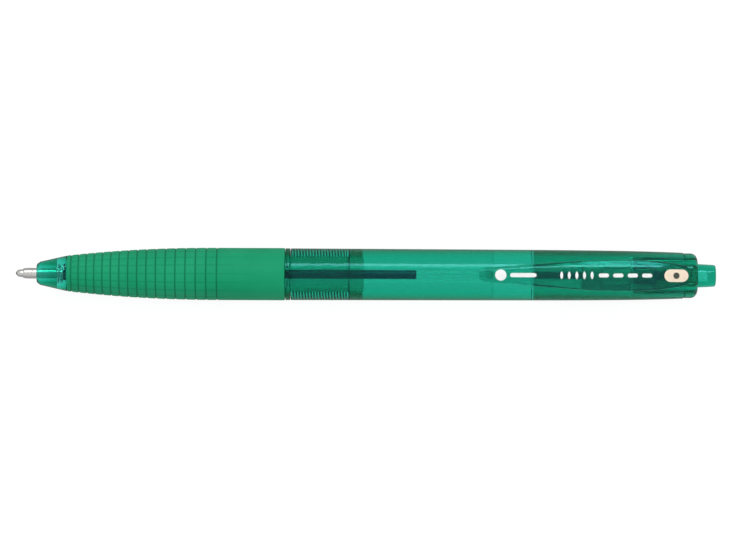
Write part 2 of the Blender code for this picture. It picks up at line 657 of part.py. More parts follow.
def clip_heel():
    """A round bar across the clip's root, centred on the line that the clip bends about."""
    build = bmesh.new()
    across = Matrix.Rotation(math.radians(90), 4, "X")
    middle = Matrix.Translation((-HEEL_HEIGHT, 0, HEEL_STATION))
    bmesh.ops.create_cone(build, cap_ends=True, segments=16, radius1=HEEL_RADIUS,
                          radius2=HEEL_RADIUS, depth=2 * HEEL_HALF_WIDTH,
                          matrix=middle @ across)
    top = clip_crown(HEEL_STATION) - CLIP_THICKNESS / 2
    web = 0.6 * HEEL_RADIUS
    root = bmesh.new()
    add_box(root, (-top, -HEEL_HALF_WIDTH + FACE_GAP, HEEL_STATION - web),
            (-HEEL_HEIGHT, HEEL_HALF_WIDTH - FACE_GAP, HEEL_STATION + web))
    heel = mesh_tool("clip_heel", build)
    boolean(heel, mesh_tool("clip_web", root), "UNION")
    return heel


clear_scene()
PARTS = new_collection("click_pen")
TOOLS = new_collection("cutters")
AXIS = pen_axis()

make_ball()
make_tip()
make_tip_holder()
make_ink_tube()
make_spring()
make_front_barrel()
make_grip()
make_rear_barrel()
make_tail_cap()
make_cam()
make_button()
make_clip()
bpy.context.view_layer.update()
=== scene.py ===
# %% [markdown]
# # A click pen, piece by piece
# The pen lies on its side with the clip on top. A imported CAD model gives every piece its
# place, and this lesson builds the fine surface of each piece round it. The first lines
# load that model. Its box is kept, so that the finished pen can be compared with it.

# %% Load the CAD model
import math

import bmesh
import bpy
from mathutils import Matrix, Vector


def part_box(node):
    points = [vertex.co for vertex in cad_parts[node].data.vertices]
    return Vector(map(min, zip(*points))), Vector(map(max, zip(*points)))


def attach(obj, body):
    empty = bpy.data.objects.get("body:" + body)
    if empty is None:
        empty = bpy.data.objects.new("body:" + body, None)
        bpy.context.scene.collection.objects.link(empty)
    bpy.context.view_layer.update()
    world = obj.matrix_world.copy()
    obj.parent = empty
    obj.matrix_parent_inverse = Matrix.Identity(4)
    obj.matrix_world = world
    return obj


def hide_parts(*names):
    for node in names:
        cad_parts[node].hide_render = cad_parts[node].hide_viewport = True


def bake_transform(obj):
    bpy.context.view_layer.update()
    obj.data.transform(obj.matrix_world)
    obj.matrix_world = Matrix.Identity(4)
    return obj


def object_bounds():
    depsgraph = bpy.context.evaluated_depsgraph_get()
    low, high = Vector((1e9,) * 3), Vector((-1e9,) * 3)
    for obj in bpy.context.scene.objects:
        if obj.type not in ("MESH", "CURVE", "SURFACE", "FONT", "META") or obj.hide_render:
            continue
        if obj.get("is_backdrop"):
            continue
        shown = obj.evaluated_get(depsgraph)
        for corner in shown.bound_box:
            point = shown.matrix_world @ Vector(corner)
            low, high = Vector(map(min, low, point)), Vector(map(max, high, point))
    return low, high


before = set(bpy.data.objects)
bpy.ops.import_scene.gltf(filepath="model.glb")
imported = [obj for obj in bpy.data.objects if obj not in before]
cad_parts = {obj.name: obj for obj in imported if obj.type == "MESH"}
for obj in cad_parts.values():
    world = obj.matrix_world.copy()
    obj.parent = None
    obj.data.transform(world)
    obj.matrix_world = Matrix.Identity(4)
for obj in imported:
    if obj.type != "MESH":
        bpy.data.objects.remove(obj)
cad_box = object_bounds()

# %% [markdown]
# ## Measuring along the pen
# A pen is drawn by its maker as stations, distances from the ball of the tip, and radii.
# The same measure is used here, in millimetres. Each CAD node tells where it begins and
# ends and how thick it is, so the numbers that follow are only the ones the CAD boxes
# can't tell, such as bores and walls.

# %% The pen's own measure
MM = 0.001
TIP_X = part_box("writing_ball")[0].x
barrel_low, barrel_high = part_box("rear_barrel")
AXIS = (barrel_low + barrel_high) / 2


def span(node):
    """Front station, back station and radius of a CAD node, in millimetres."""
    low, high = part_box(node)
    return (low.x - TIP_X) / MM, (high.x - TIP_X) / MM, (high.y - low.y) / 2 / MM


def at(station, radius, angle=0.0):
    """The point in metres at a station, a radius and an angle from straight up."""
    return Vector((TIP_X + station * MM, AXIS.y + radius * MM * math.sin(angle),
                   AXIS.z + radius * MM * math.cos(angle)))


for node in sorted(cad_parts):
    print("%-14s from %6.2f to %6.2f, radius %.2f" % ((node,) + span(node)))

# %% [markdown]
# ## Sums in a node tree
# Shader and geometry trees do their sums with Math nodes, which are slow to wire by hand.
# Here a small class wraps a socket, so that a sum written in Python adds its nodes. A
# second class holds the tree and has one method that adds any other node: its settings
# go first, and then the values or links of its sockets.


# %% A socket that can be added, multiplied and compared
class Wire:
    """An output socket that Python's operators work on."""

    def __init__(self, bench, socket):
        self.bench, self.socket = bench, socket

    def __add__(self, other):
        return self.bench.pair("ADD", self, other)

    def __sub__(self, other):
        return self.bench.pair("SUBTRACT", self, other)

    def __rsub__(self, other):
        return self.bench.pair("SUBTRACT", other, self)

    def __mul__(self, other):
        return self.bench.pair("MULTIPLY", self, other)

    def __truediv__(self, other):
        return self.bench.pair("DIVIDE", self, other)

    def __pow__(self, other):
        return self.bench.pair("POWER", self, other)

    def __gt__(self, other):
        return self.bench.pair("GREATER_THAN", self, other)

    def __lt__(self, other):
        return self.bench.pair("LESS_THAN", self, other)

    __radd__ = __add__
    __rmul__ = __mul__


class Bench:
    """A node tree, with one way to add any node."""

    def __init__(self, tree):
        self.tree = tree

    def feed(self, socket, value):
        if isinstance(value, Wire):
            self.tree.links.new(value.socket, socket)
        else:
            socket.default_value = value

    def add(self, kind, settings=None, values=None, output=0):
        node = self.tree.nodes.new(kind)
        for name, value in (settings or {}).items():
            setattr(node, name, value)
        for key, value in (values or {}).items():
            self.feed(node.inputs[key], value)
        return Wire(self, node.outputs[output])

    def pair(self, operation, first, second):
        """A Math node that takes two values."""
        return self.add("ShaderNodeMath", {"operation": operation}, {0: first, 1: second})

    def call(self, function, value):
        """A Math node that takes one value, such as SINE or FRACT."""
        return self.add("ShaderNodeMath", {"operation": function}, {0: value})

    def clamp(self, value):
        """Keeps a value between 0 and 1."""
        return self.add("ShaderNodeClamp", None, {0: value, 1: 0.0, 2: 1.0})

    def step(self, value, low, high):
        """Rises smoothly from 0 at low to 1 at high."""
        return self.add("ShaderNodeMapRange", {"interpolation_type": "SMOOTHSTEP"},
                        {"Value": value, "From Min": low, "From Max": high})

    def blend(self, share, first, second):
        """A colour between two colours."""
        return self.add("ShaderNodeMix", {"data_type": "RGBA"},
                        {0: share, 6: first, 7: second}, output=2)


# %% [markdown]
# ## Noise and scuffs
# No moulded or turned surface is even. All the finishes below use the same three helpers:
# noise read in object coordinates, the same noise stretched along the pen, and scuffs,
# which are where a thin band of stretched noise is picked out. Object coordinates are in
# metres, so a scale of 1000 makes spots about a millimetre wide.


# %% Helpers that every finish shares
def place_on(bench, stretch=(1.0, 1.0, 1.0)):
    here = bench.add("ShaderNodeTexCoord", output="Object")
    return bench.add("ShaderNodeMapping", None, {"Vector": here, "Scale": stretch})


def noise(bench, scale, detail=3.0, stretch=(1.0, 1.0, 1.0)):
    return bench.add("ShaderNodeTexNoise", {"noise_dimensions": "3D"},
                     {"Vector": place_on(bench, stretch), "Scale": scale, "Detail": detail})


SCUFF_WIDTH = 0.012               # the band of noise values that counts as a mark


def scuffs(bench, scale):
    """Thin marks that run mostly along the pen: 1 on a mark and 0 off it."""
    veins = noise(bench, scale, 2.0, (0.12, 1.0, 1.0))
    patches = bench.step(noise(bench, scale * 0.12), 0.48, 0.62)
    off_middle = bench.call("ABSOLUTE", veins - 0.5)
    return (1.0 - bench.step(off_middle, 0.0, SCUFF_WIDTH)) * patches


def new_finish(name):
    """An empty material with its bench and its output node."""
    material = bpy.data.materials.new(name)
    material.use_nodes = True
    material.node_tree.nodes.clear()
    bench = Bench(material.node_tree)
    output = material.node_tree.nodes.new("ShaderNodeOutputMaterial")
    return material, bench, output


def bump(bench, height, distance):
    return bench.add("ShaderNodeBump", None, {"Height": height, "Distance": distance})


def grey(level):
    return (level, level, level, 1.0)


print("each scuff is a band", SCUFF_WIDTH, "wide in its noise")


# %% [markdown]
# ## Clear green plastic
# The barrel, clip, button and end cap are moulded in one tinted polycarbonate. Its colour
# comes from the depth of plastic that light crosses, so it is a Volume Absorption and not
# a surface colour: thick rims go dark by themselves. Red is soaked up most, then blue.
# The surface is polished, with faint flow waves from the mould and fine scuffs. A lamp's
# shadow rays pass straight through, because path tracing finds the lamp through two
# curved walls only by luck.

# %% Clear plastics
PLASTIC_IOR = 1.49
GREEN_DEPTH, TUBE_DEPTH = 1330.0, 60.0      # per metre, of a colour that can't pass
GREEN_PASSES, TUBE_PASSES = (0.0, 0.805, 0.715, 1.0), (0.5, 0.8, 0.7, 1.0)
GREEN_GLINT = (0.28, 0.90, 1.0, 1.0)        # the gloss is tinted too
SHADOW_PASSES = grey(0.95)


def clear_plastic(name, roughness, waves, depth, passes, glint):
    material, bench, output = new_finish(name)
    marks = scuffs(bench, 900.0)
    haze = bench.step(noise(bench, 260.0), 0.35, 0.75)
    dull = roughness + haze * 0.02 + marks * 0.12
    flow = noise(bench, 220.0, 2.0, (0.35, 1.0, 1.0)) + marks * -0.05
    skin = bench.add("ShaderNodeBsdfPrincipled", None, {
        "Base Color": grey(1.0), "Transmission Weight": 1.0, "IOR": PLASTIC_IOR,
        "Specular Tint": glint, "Roughness": dull, "Normal": bump(bench, flow, waves)})
    shadow = bench.add("ShaderNodeLightPath", output="Is Shadow Ray")
    passing = bench.add("ShaderNodeBsdfTransparent", None, {"Color": SHADOW_PASSES})
    surface = bench.add("ShaderNodeMixShader", None, {0: shadow, 1: skin, 2: passing})
    soak = bench.add("ShaderNodeVolumeAbsorption", None,
                     {"Color": passes, "Density": depth})
    bench.feed(output.inputs["Surface"], surface)
    bench.feed(output.inputs["Volume"], soak)
    return material


GREEN = clear_plastic("clear_green_plastic", 0.015, 0.00003, GREEN_DEPTH, GREEN_PASSES,
                      GREEN_GLINT)
TUBE = clear_plastic("natural_tube_plastic", 0.12, 0.00001, TUBE_DEPTH, TUBE_PASSES,
                     grey(1.0))
print("clear plastics:", GREEN.name, "and", TUBE.name)

# %% [markdown]
# ## Rubber
# The grip is an opaque green elastomer with a dry, velvety skin. Each vertex of the grip
# carries an attribute, made later by its geometry tree, that says how deep it lies in a
# groove. The grooves are coloured darker by that depth: this is painted shade, for the
# shadow that falls in them. The lands between them vary a little in tone at random.

# %% Grip rubber
GROOVE = "groove_depth"
LAND_DARK, LAND_PALE = (0.005, 0.275, 0.125, 1.0), (0.009, 0.305, 0.141, 1.0)
# painted shade: the darker colour laid in the grooves, and how far it darkens them
GROOVE_SHADE_COLOUR, GROOVE_SHADE_SHARE = (0.001, 0.105, 0.055, 1.0), 0.85


def grip_rubber():
    material, bench, output = new_finish("green_grip_rubber")
    groove = bench.add("ShaderNodeAttribute", {"attribute_name": GROOVE}, output="Fac")
    speckle = noise(bench, 5200.0, 4.0)
    cloud = bench.step(noise(bench, 140.0), 0.3, 0.7)
    lands = bench.blend(cloud, LAND_DARK, LAND_PALE)
    # painted shade: the grooves are darkened by their depth, standing in for the shadow in
    # them
    colour = bench.blend(groove * GROOVE_SHADE_SHARE, lands, GROOVE_SHADE_COLOUR)
    dull = 0.46 + speckle * 0.12 + groove * 0.15
    skin = bench.add("ShaderNodeBsdfPrincipled", None, {
        "Base Color": colour, "Roughness": dull, "IOR": 1.47, "Specular IOR Level": 0.12,
        "Normal": bump(bench, speckle, 0.00002)})
    bench.feed(output.inputs["Surface"], skin)
    return material


RUBBER = grip_rubber()
print("rubber:", RUBBER.name, "reads the attribute", GROOVE)

# %% [markdown]
# ## Cam and holder plastics, ink and print
# The cam is moulded in natural acetal, which is milky, and the refill's holder in a dark
# plastic that shades the back of the nose. The ink is a dark blue-black paste. The print
# on the clip is thin raised ink: white bars, and a cream pad with a dark dot. They are
# all plain painted or moulded surfaces, so one function makes them from two close
# colours, a roughness and a grain.


# %% Opaque plastics and inks
def opaque(name, light, dark, roughness, grain_scale, grain, worn=0.0):
    """A finish of two close colours, given as red, green and blue."""
    material, bench, output = new_finish(name)
    light, dark = (*light, 1.0), (*dark, 1.0)
    cloud = bench.step(noise(bench, grain_scale * 0.2), 0.3, 0.7)
    grains = noise(bench, grain_scale, 4.0)
    marks = scuffs(bench, 1500.0) * worn
    colour = bench.blend(cloud, light, dark)
    skin = bench.add("ShaderNodeBsdfPrincipled", None, {
        "Base Color": bench.blend(marks, colour, dark),
        "Roughness": roughness + grains * 0.12 + marks * 0.2,
        "Normal": bump(bench, grains, grain)})
    bench.feed(output.inputs["Surface"], skin)
    return material


MOULD_GRAIN, MOULD_DEPTH = 2500.0, 1e-5
PRINT_GRAIN, PRINT_DEPTH = 6000.0, 6e-6
ACETAL = opaque("milky_acetal", (0.72, 0.76, 0.73), (0.60, 0.66, 0.62), 0.30,
                MOULD_GRAIN, MOULD_DEPTH)
HOLDER = opaque("dark_holder_plastic", (0.006, 0.030, 0.045), (0.004, 0.022, 0.034), 0.35,
                MOULD_GRAIN, MOULD_DEPTH)
INK = opaque("blue_black_ink", (0.005, 0.014, 0.070), (0.003, 0.009, 0.050), 0.12,
             900.0, 4e-6)
WHITE = opaque("white_print", (0.84, 0.85, 0.84), (0.76, 0.78, 0.77), 0.35,
               PRINT_GRAIN, PRINT_DEPTH, worn=0.5)
CREAM = opaque("cream_print", (0.86, 0.73, 0.58), (0.80, 0.66, 0.50), 0.35,
               PRINT_GRAIN, PRINT_DEPTH, worn=0.4)
DARK = opaque("dark_print", (0.055, 0.070, 0.050), (0.040, 0.052, 0.038), 0.4,
              PRINT_GRAIN, PRINT_DEPTH)
print("opaque finishes:", ", ".join(made.name for made in (ACETAL, HOLDER, INK)))

# %% [markdown]
# ## Metals
# The tip is turned from nickel silver bar, so its gloss has rings round the axis: a noise
# squeezed along the pen and spread across it. The spring is drawn wire, with fine lines,
# and the ball is polished carbide, with only the faintest pits.


# %% Turned, drawn and polished metal
EVEN = (1.0, 1.0, 1.0)
TURNED = (1.0, 0.04, 0.04)        # squeezes a noise into rings round the axis


def metal(name, light, dark, roughness, ring_scale, stretch, depth):
    """A metal of two close colours, given as red, green and blue."""
    material, bench, output = new_finish(name)
    light, dark = (*light, 1.0), (*dark, 1.0)
    rings = noise(bench, ring_scale, 3.0, stretch)
    cloud = bench.step(noise(bench, 700.0), 0.35, 0.7)
    skin = bench.add("ShaderNodeBsdfPrincipled", None, {
        "Base Color": bench.blend(cloud, light, dark), "Metallic": 1.0,
        "Roughness": roughness + rings * 0.14, "Normal": bump(bench, rings, depth)})
    bench.feed(output.inputs["Surface"], skin)
    return material


NICKEL = metal("turned_nickel_silver", (0.90, 0.90, 0.87), (0.83, 0.82, 0.79), 0.26,
               9000.0, TURNED, 2e-6)
STEEL = metal("drawn_spring_steel", (0.70, 0.71, 0.73), (0.55, 0.56, 0.58), 0.20,
              6000.0, EVEN, 2e-6)
CARBIDE = metal("polished_carbide", (0.46, 0.47, 0.50), (0.38, 0.39, 0.42), 0.06,
                4000.0, EVEN, 5e-7)
print("finishes:", len(bpy.data.materials))

# %% [markdown]
# ## Turned pieces
# Nearly every piece of a pen is round, so each is an outline of stations and radii turned
# about the axis. A Screw modifier could do that, but here the rings are laid in a bmesh,
# because an outline point can then carry its own corner rounding: a moulded edge is never
# sharp, and the thin line of light along it is what makes plastic look real.

# %% Outlines with rounded corners
AROUND = 128                      # points round a turned piece
CORNER_STEPS = 4


def rounded(corners, closed):
    """Points (station, radius, rounding) with each corner turned into a small curve."""
    outline = []
    count = len(corners)
    for index, (station, radius, rounding) in enumerate(corners):
        here = Vector((station, radius))
        if rounding == 0 or (not closed and index in (0, count - 1)):
            outline.append(here)
            continue
        before = Vector(corners[index - 1][:2]) - here
        after = Vector(corners[(index + 1) % count][:2]) - here
        reach = min(rounding, 0.49 * before.length, 0.49 * after.length)
        first, last = before.normalized() * reach, after.normalized() * reach
        for step in range(CORNER_STEPS + 1):
            share = step / CORNER_STEPS
            outline.append(here + first * (1 - share) ** 2 + last * share ** 2)
    return outline


def run(start, end, step, radius_at):
    """Outline points from one station to another along a curve of radii."""
    count = max(1, round(abs(end - start) / step))
    stations = [start + (end - start) * index / count for index in range(count + 1)]
    return [(station, radius_at(station), 0) for station in stations]


# %% Turning an outline into a mesh
SHARP = math.radians(35)          # edges bent more than this stay crisp


def smooth(mesh):
    """Shades a mesh smooth, except at its sharp edges."""
    mesh.shade_smooth()
    mesh.set_sharp_from_angle(angle=SHARP)
    return mesh


def finish_mesh(build, name):
    """Closes, orients and smooths a bmesh and returns it as a mesh."""
    bmesh.ops.remove_doubles(build, verts=build.verts, dist=1e-8)
    bmesh.ops.recalc_face_normals(build, faces=build.faces)
    mesh = bpy.data.meshes.new(name)
    build.to_mesh(mesh)
    build.free()
    return smooth(mesh)


def turned(name, corners, closed=True, around=AROUND):
    """A mesh turned about the pen's axis. An open outline begins and ends on the axis."""
    build = bmesh.new()
    rings = []
    for station, radius in rounded(corners, closed):
        if radius < 1e-6:
            rings.append([build.verts.new(at(station, 0))])
            continue
        rings.append([build.verts.new(at(station, radius, math.tau * turn / around))
                      for turn in range(around)])
    pairs = list(zip(rings, rings[1:])) + ([(rings[-1], rings[0])] if closed else [])
    for first, second in pairs:
        for turn in range(around):
            quad = (first[turn % len(first)], first[(turn + 1) % len(first)],
                    second[(turn + 1) % len(second)], second[turn % len(second)])
            build.faces.new(list(dict.fromkeys(quad)))
    return finish_mesh(build, name)


# %% [markdown]
# ## Geometry trees
# Grooves, threads, teeth, ribs, the spring and the printed bars all repeat by a rule, so
# each is a Geometry Nodes tree made by the script. The helper below opens a tree with
# named inputs. `grow` runs it on a starting mesh, sets the inputs by their identifiers
# before anything is evaluated, and hands back a plain mesh.


# %% Opening a geometry tree and running it
def new_tree(name, sizes):
    """A geometry tree with a float input for each named size, and its bench."""
    tree = bpy.data.node_groups.new(name, "GeometryNodeTree")
    sockets = [("Geometry", "INPUT", "NodeSocketGeometry")]
    sockets += [(size, "INPUT", "NodeSocketFloat") for size in sizes]
    sockets += [("Finish", "INPUT", "NodeSocketMaterial"),
                ("Geometry", "OUTPUT", "NodeSocketGeometry")]
    for label, way, kind in sockets:
        tree.interface.new_socket(name=label, in_out=way, socket_type=kind)
    bench = Bench(tree)
    entry = tree.nodes.new("NodeGroupInput")
    given = {socket.name: Wire(bench, socket) for socket in entry.outputs if socket.name}
    return tree, bench, given


def close_tree(bench, shape, finish):
    """Every tree ends by making its instances real and giving them their material."""
    real = bench.add("GeometryNodeRealizeInstances", None, {"Geometry": shape})
    made = bench.add("GeometryNodeSetMaterial", None,
                     {"Geometry": real, "Material": finish})
    leave = bench.tree.nodes.new("NodeGroupOutput")
    bench.feed(leave.inputs[0], made)


def grow(name, tree, mesh, sizes, finish):
    """Runs a tree on a mesh and returns the result as a plain mesh."""
    seed = bpy.data.objects.new(name + "_seed", mesh)
    bpy.context.scene.collection.objects.link(seed)
    modifier = seed.modifiers.new("grow", "NODES")
    modifier.node_group = tree
    values = dict(sizes, Finish=finish)
    for item in tree.interface.items_tree:
        if item.in_out == "INPUT" and item.name in values:
            modifier[item.identifier] = values[item.name]
    evaluated = seed.evaluated_get(bpy.context.evaluated_depsgraph_get())
    result = bpy.data.meshes.new_from_object(evaluated)
    bpy.data.objects.remove(seed)
    result.name = name
    return result


def polar(bench):
    """Station in metres, distance from the axis, angle from the top, and the way out."""
    here = bench.add("GeometryNodeInputPosition")
    parts = bench.tree.nodes.new("ShaderNodeSeparateXYZ")
    bench.feed(parts.inputs[0], here)
    x, y, z = (Wire(bench, socket) for socket in parts.outputs)
    side, rise = y - AXIS.y, z - AXIS.z
    radius = (side * side + rise * rise) ** 0.5
    angle = bench.add("ShaderNodeMath", {"operation": "ARCTAN2"}, {0: side, 1: rise})
    outward = bench.add("ShaderNodeCombineXYZ", None, {1: side / radius, 2: rise / radius})
    return x - TIP_X, radius, angle, outward


def move(bench, shape, way, distance, chosen=True):
    """Moves the chosen points a distance along a way."""
    shift = bench.add("ShaderNodeVectorMath", {"operation": "SCALE"},
                      {0: way, "Scale": distance})
    return bench.add("GeometryNodeSetPosition", None,
                     {"Geometry": shape, "Selection": chosen, "Offset": shift})


# %% [markdown]
# ## Placing finished pieces
# A finished piece stays at the origin with its place in its mesh, as the CAD nodes do. It
# rides on the CAD body it belongs to, and takes over from its CAD node. Where two shapes
# make one moulding, a Boolean joins them, so no inner wall is left in clear plastic.


# %% Joining, cutting and placing
def combined(mesh, tool, operation):
    """One mesh from two, by a Boolean."""
    base = bpy.data.objects.new("base", mesh)
    other = bpy.data.objects.new("tool", tool)
    for obj in (base, other):
        bpy.context.scene.collection.objects.link(obj)
    modifier = base.modifiers.new("join", "BOOLEAN")
    modifier.operation, modifier.solver, modifier.object = operation, "EXACT", other
    evaluated = base.evaluated_get(bpy.context.evaluated_depsgraph_get())
    result = bpy.data.meshes.new_from_object(evaluated)
    for obj in (base, other):
        bpy.data.objects.remove(obj)
    return smooth(result)


def piece(name, mesh, finish, body, slot, *nodes):
    """A finished piece that rides on a body and stands for its CAD nodes."""
    mesh.materials.clear()
    mesh.materials.append(finish)
    obj = bpy.data.objects.new(name, mesh)
    bpy.context.scene.collection.objects.link(obj)
    if nodes:
        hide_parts(*nodes)
    if body:
        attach(obj, body)
    low, high = (Vector(corner) for corner in (obj.bound_box[0], obj.bound_box[6]))
    size = (high - low) / MM
    print("%-14s %6d faces, %.2f x %.2f x %.2f mm" % (name, len(mesh.polygons), *size))
    return obj


# %% [markdown]
# ## The writing ball and its tip
# The ball is a millimetre of carbide, held by a lip that is rolled over it. The cone
# behind it is turned in steps: a slim neck, a short taper and the tube. Turning the
# outline is exactly how the real one is made.

# %% Ball and tip
ball_front, ball_back, _ = span("writing_ball")
BALL, BALL_STEPS = (ball_back - ball_front) / 2, 24
ball_turns = [math.pi * step / BALL_STEPS for step in range(BALL_STEPS + 1)]
ball_arc = [(BALL - BALL * math.cos(turn), BALL * math.sin(turn), 0) for turn in ball_turns]
piece("ball", turned("ball", ball_arc, closed=False, around=48), CARBIDE, "refill",
      "carbide", "writing_ball")

tip_front, tip_back, TIP = span("writing_tip")
LIP, NECK, CHANNEL, BALL_SEAT = 0.61, 0.80, 0.35, 0.55
tip_outline = [
    (tip_front, LIP, 0.03), (0.62, 0.70, 0.04), (1.02, NECK, 0.06), (1.50, NECK, 0.05),
    (1.52, 0.98, 0.04), (1.78, 1.04, 0.05), (2.60, TIP, 0.25), (3.30, TIP, 0.02),
    (3.34, TIP - 0.03, 0.02), (3.42, TIP - 0.03, 0.02), (3.46, TIP, 0.02),
    (tip_back, TIP, 0.1), (tip_back, CHANNEL, 0.05), (1.60, CHANNEL, 0.05),
    (1.05, BALL_SEAT, 0.05), (tip_front, BALL_SEAT, 0.02)]
piece("tip", turned("tip", tip_outline, around=96), NICKEL, "refill", "nickel",
      "writing_tip")

# %% [markdown]
# ## Refill
# Behind the tip come the moulded holder with the shoulder that the spring pushes on, the
# ink tube and the ink in it. The tube is translucent and open at the back, and the ink
# ends in a hollow meniscus where it has been drawn down.

# %% Holder, tube and ink
holder_front, holder_back, SHOULDER = span("tip_holder")
tube_front, tube_back, TUBE_R = span("ink_tube")
ink_front, ink_back, INK_R = span("ink_column")
SEAT = 21.7                       # where the spring meets the holder's shoulder
SHOULDER_BACK = SEAT + 1.4
HOLDER_NOSE, HOLDER_BARREL, HOLDER_SOCKET = 1.25, 1.45, 1.75
FIT = 0.05                        # room between two pieces that are pushed together
holder_outline = [
    (holder_front, HOLDER_NOSE, 0.05), (holder_front + 0.2, HOLDER_BARREL, 0.05),
    (SEAT, HOLDER_BARREL, 0.05), (SEAT, SHOULDER, 0.15), (SHOULDER_BACK, SHOULDER, 0.15),
    (SHOULDER_BACK, HOLDER_SOCKET, 0.05), (holder_back, HOLDER_SOCKET, 0.15),
    (holder_back, TUBE_R + FIT, 0.05), (SEAT, TUBE_R + FIT, 0.05), (SEAT, CHANNEL, 0.05),
    (tip_back + 0.1, CHANNEL, 0.05), (tip_back + 0.1, TIP + FIT, 0.05),
    (holder_front, TIP + FIT, 0.03)]
piece("refill_holder", turned("refill_holder", holder_outline, around=96), HOLDER, "refill",
      "dark_plastic", "tip_holder")

TUBE_BORE = INK_R + FIT
tube_outline = [(tube_front, TUBE_R, 0.1), (tube_back, TUBE_R, 0.12),
                (tube_back, TUBE_BORE, 0.08), (tube_front, TUBE_BORE, 0.05)]
piece("refill_tube", turned("refill_tube", tube_outline, around=96), TUBE, "refill",
      "clear_plastic", "ink_tube")

MENISCUS = 0.55
WET = 0.005                       # the ink wets the tube, so no air is left between them
WET_R = TUBE_BORE + WET
hollow = [(ink_back - MENISCUS * (1 - share ** 2), WET_R * share, 0)
          for share in (1.0, 0.9, 0.75, 0.5, 0.25, 0.0)]
ink_outline = [(ink_front, 0, 0), (ink_front, WET_R, 0.1)] + hollow
piece("ink", turned("ink", ink_outline, closed=False, around=64), INK, "refill", "ink",
      "ink_column")

# %% [markdown]
# ## Return spring
# The spring is a helix whose end turns lie close together, so that it sits flat. Its tree
# makes a spiral, lifts each point by a rule along the length, and sweeps a round wire.
# When the refill goes back the spring gets longer; here it is made once, at its length in
# the CAD model, and rides on no body.

# %% Spring tree
SPRING_FRONT, SPRING_TURNS, WIRE = 8.6, 11, 0.175
END_RISE = 2.3 * WIRE             # how far each closed end turn climbs
spring_front, spring_back, spring_outside = span("return_spring")


def spring_tree():
    """A helix of round wire whose first and last turns lie close."""
    tree, bench, given = new_tree("close-ended spring", [
        "Turns", "Radius", "Wire", "Length", "End Rise"])
    coil = bench.add("GeometryNodeCurveSpiral", None, {
        "Resolution": 32, "Rotations": given["Turns"], "Start Radius": given["Radius"],
        "End Radius": given["Radius"], "Height": 0.0})
    share = bench.add("GeometryNodeSplineParameter")
    turn = share * given["Turns"]
    body = given["Length"] - 2.0 * given["End Rise"]
    spread = bench.clamp((turn - 1.0) / (given["Turns"] - 2.0))
    ends = bench.clamp(turn) + bench.clamp(turn - given["Turns"] + 1.0)
    rise = ends * given["End Rise"] + spread * body
    lifted = bench.add("GeometryNodeSetPosition", None, {
        "Geometry": coil, "Offset": bench.add("ShaderNodeCombineXYZ", None, {2: rise})})
    laid = bench.add("GeometryNodeTransform", None, {
        "Geometry": lifted, "Rotation": (0.0, math.radians(90), 0.0)})
    wire = bench.add("GeometryNodeCurvePrimitiveCircle", None,
                     {"Resolution": 12, "Radius": given["Wire"]})
    swept = bench.add("GeometryNodeCurveToMesh", None, {
        "Curve": laid, "Profile Curve": wire, "Fill Caps": True})
    shaded = bench.add("GeometryNodeSetShadeSmooth", None, {"Geometry": swept})
    close_tree(bench, shaded, given["Finish"])
    return tree


spring_length = spring_back - spring_front - 2 * WIRE
spring = grow("spring", spring_tree(), bpy.data.meshes.new("spring_seed"), {
    "Turns": float(SPRING_TURNS), "Radius": (spring_outside - WIRE) * MM, "Wire": WIRE * MM,
    "Length": spring_length * MM, "End Rise": END_RISE * MM}, STEEL)
print("spring after the tree:", len(spring.vertices), "points")

# %% Placing the spring
spring.transform(Matrix.Translation(at(spring_front + WIRE, 0)))
spring_piece = piece("spring", spring, STEEL, None, "spring_steel", "return_spring")
at(spring_front + 1.0, 0)
at(spring_back - 1.0, 0)
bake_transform(spring_piece)

# %% [markdown]
# ## Front barrel
# One clear moulding runs from the nose to the thread: a nose cone with a small step at
# its rim, a slim core that the rubber is pulled over, a flange that the rear barrel
# closes against, and a threaded neck. The thread is right-handed and has two starts: two
# ridges wind round the neck side by side, and each climbs one lead in a turn. It is not
# added as a separate ridge. Its tree takes the turned neck and moves each skin point out
# by where it falls on the helix, so the plastic stays one closed body.

# %% Thread tree
LEAD, STARTS = 1.2, 2
CREST_POWER = 0.35                # under 1, it makes broad crests and narrow roots
RUN_IN = 0.25                     # the share of a lead in which the crests rise and fade
FLANGE_GAP, THREAD_LENGTH = 0.1, 11.8
barrel_front, barrel_back, _ = span("rear_barrel")
nose_face, neck_back, FLANGE = span("front_barrel")
grip_front, grip_back, GRIP = span("grip_sleeve")
flange_back = barrel_front - FLANGE_GAP
thread_back = flange_back + THREAD_LENGTH


def thread_tree():
    """Moves the skin close to one radius out to the crests of a screw thread."""
    tree, bench, given = new_tree("screw thread", [
        "Start", "End", "Lead", "Starts", "Depth", "Inner Radius", "Outer Radius"])
    station, radius, angle, outward = polar(bench)
    turns = station / given["Lead"] * math.tau + angle
    wave = bench.call("COSINE", turns * given["Starts"])
    ridge = (wave * 0.5 + 0.5) ** CREST_POWER
    rise = given["Lead"] * RUN_IN
    run_in = bench.step(station, given["Start"], given["Start"] + rise)
    run_out = 1.0 - bench.step(station, given["End"] - rise, given["End"])
    on_skin = (radius > given["Inner Radius"]) * (radius < given["Outer Radius"])
    shift = ridge * run_in * run_out * given["Depth"]
    moved = move(bench, given["Geometry"], outward, shift, on_skin)
    close_tree(bench, moved, given["Finish"])
    return tree


THREAD = thread_tree()
SKIN_BAND = 0.03                  # the skin to move lies this close to the root radius


def threaded(name, mesh, start, end, root, depth):
    """Cuts the pen's thread into a green moulding, on its skin at one radius."""
    return grow(name, THREAD, mesh, {
        "Start": start * MM, "End": end * MM, "Lead": LEAD * MM, "Starts": float(STARTS),
        "Depth": depth * MM, "Inner Radius": (root - SKIN_BAND) * MM,
        "Outer Radius": (root + SKIN_BAND) * MM}, GREEN)


print("thread: %d starts, %.1f mm lead, %.1f turns"
      % (STARTS, LEAD, THREAD_LENGTH / LEAD))

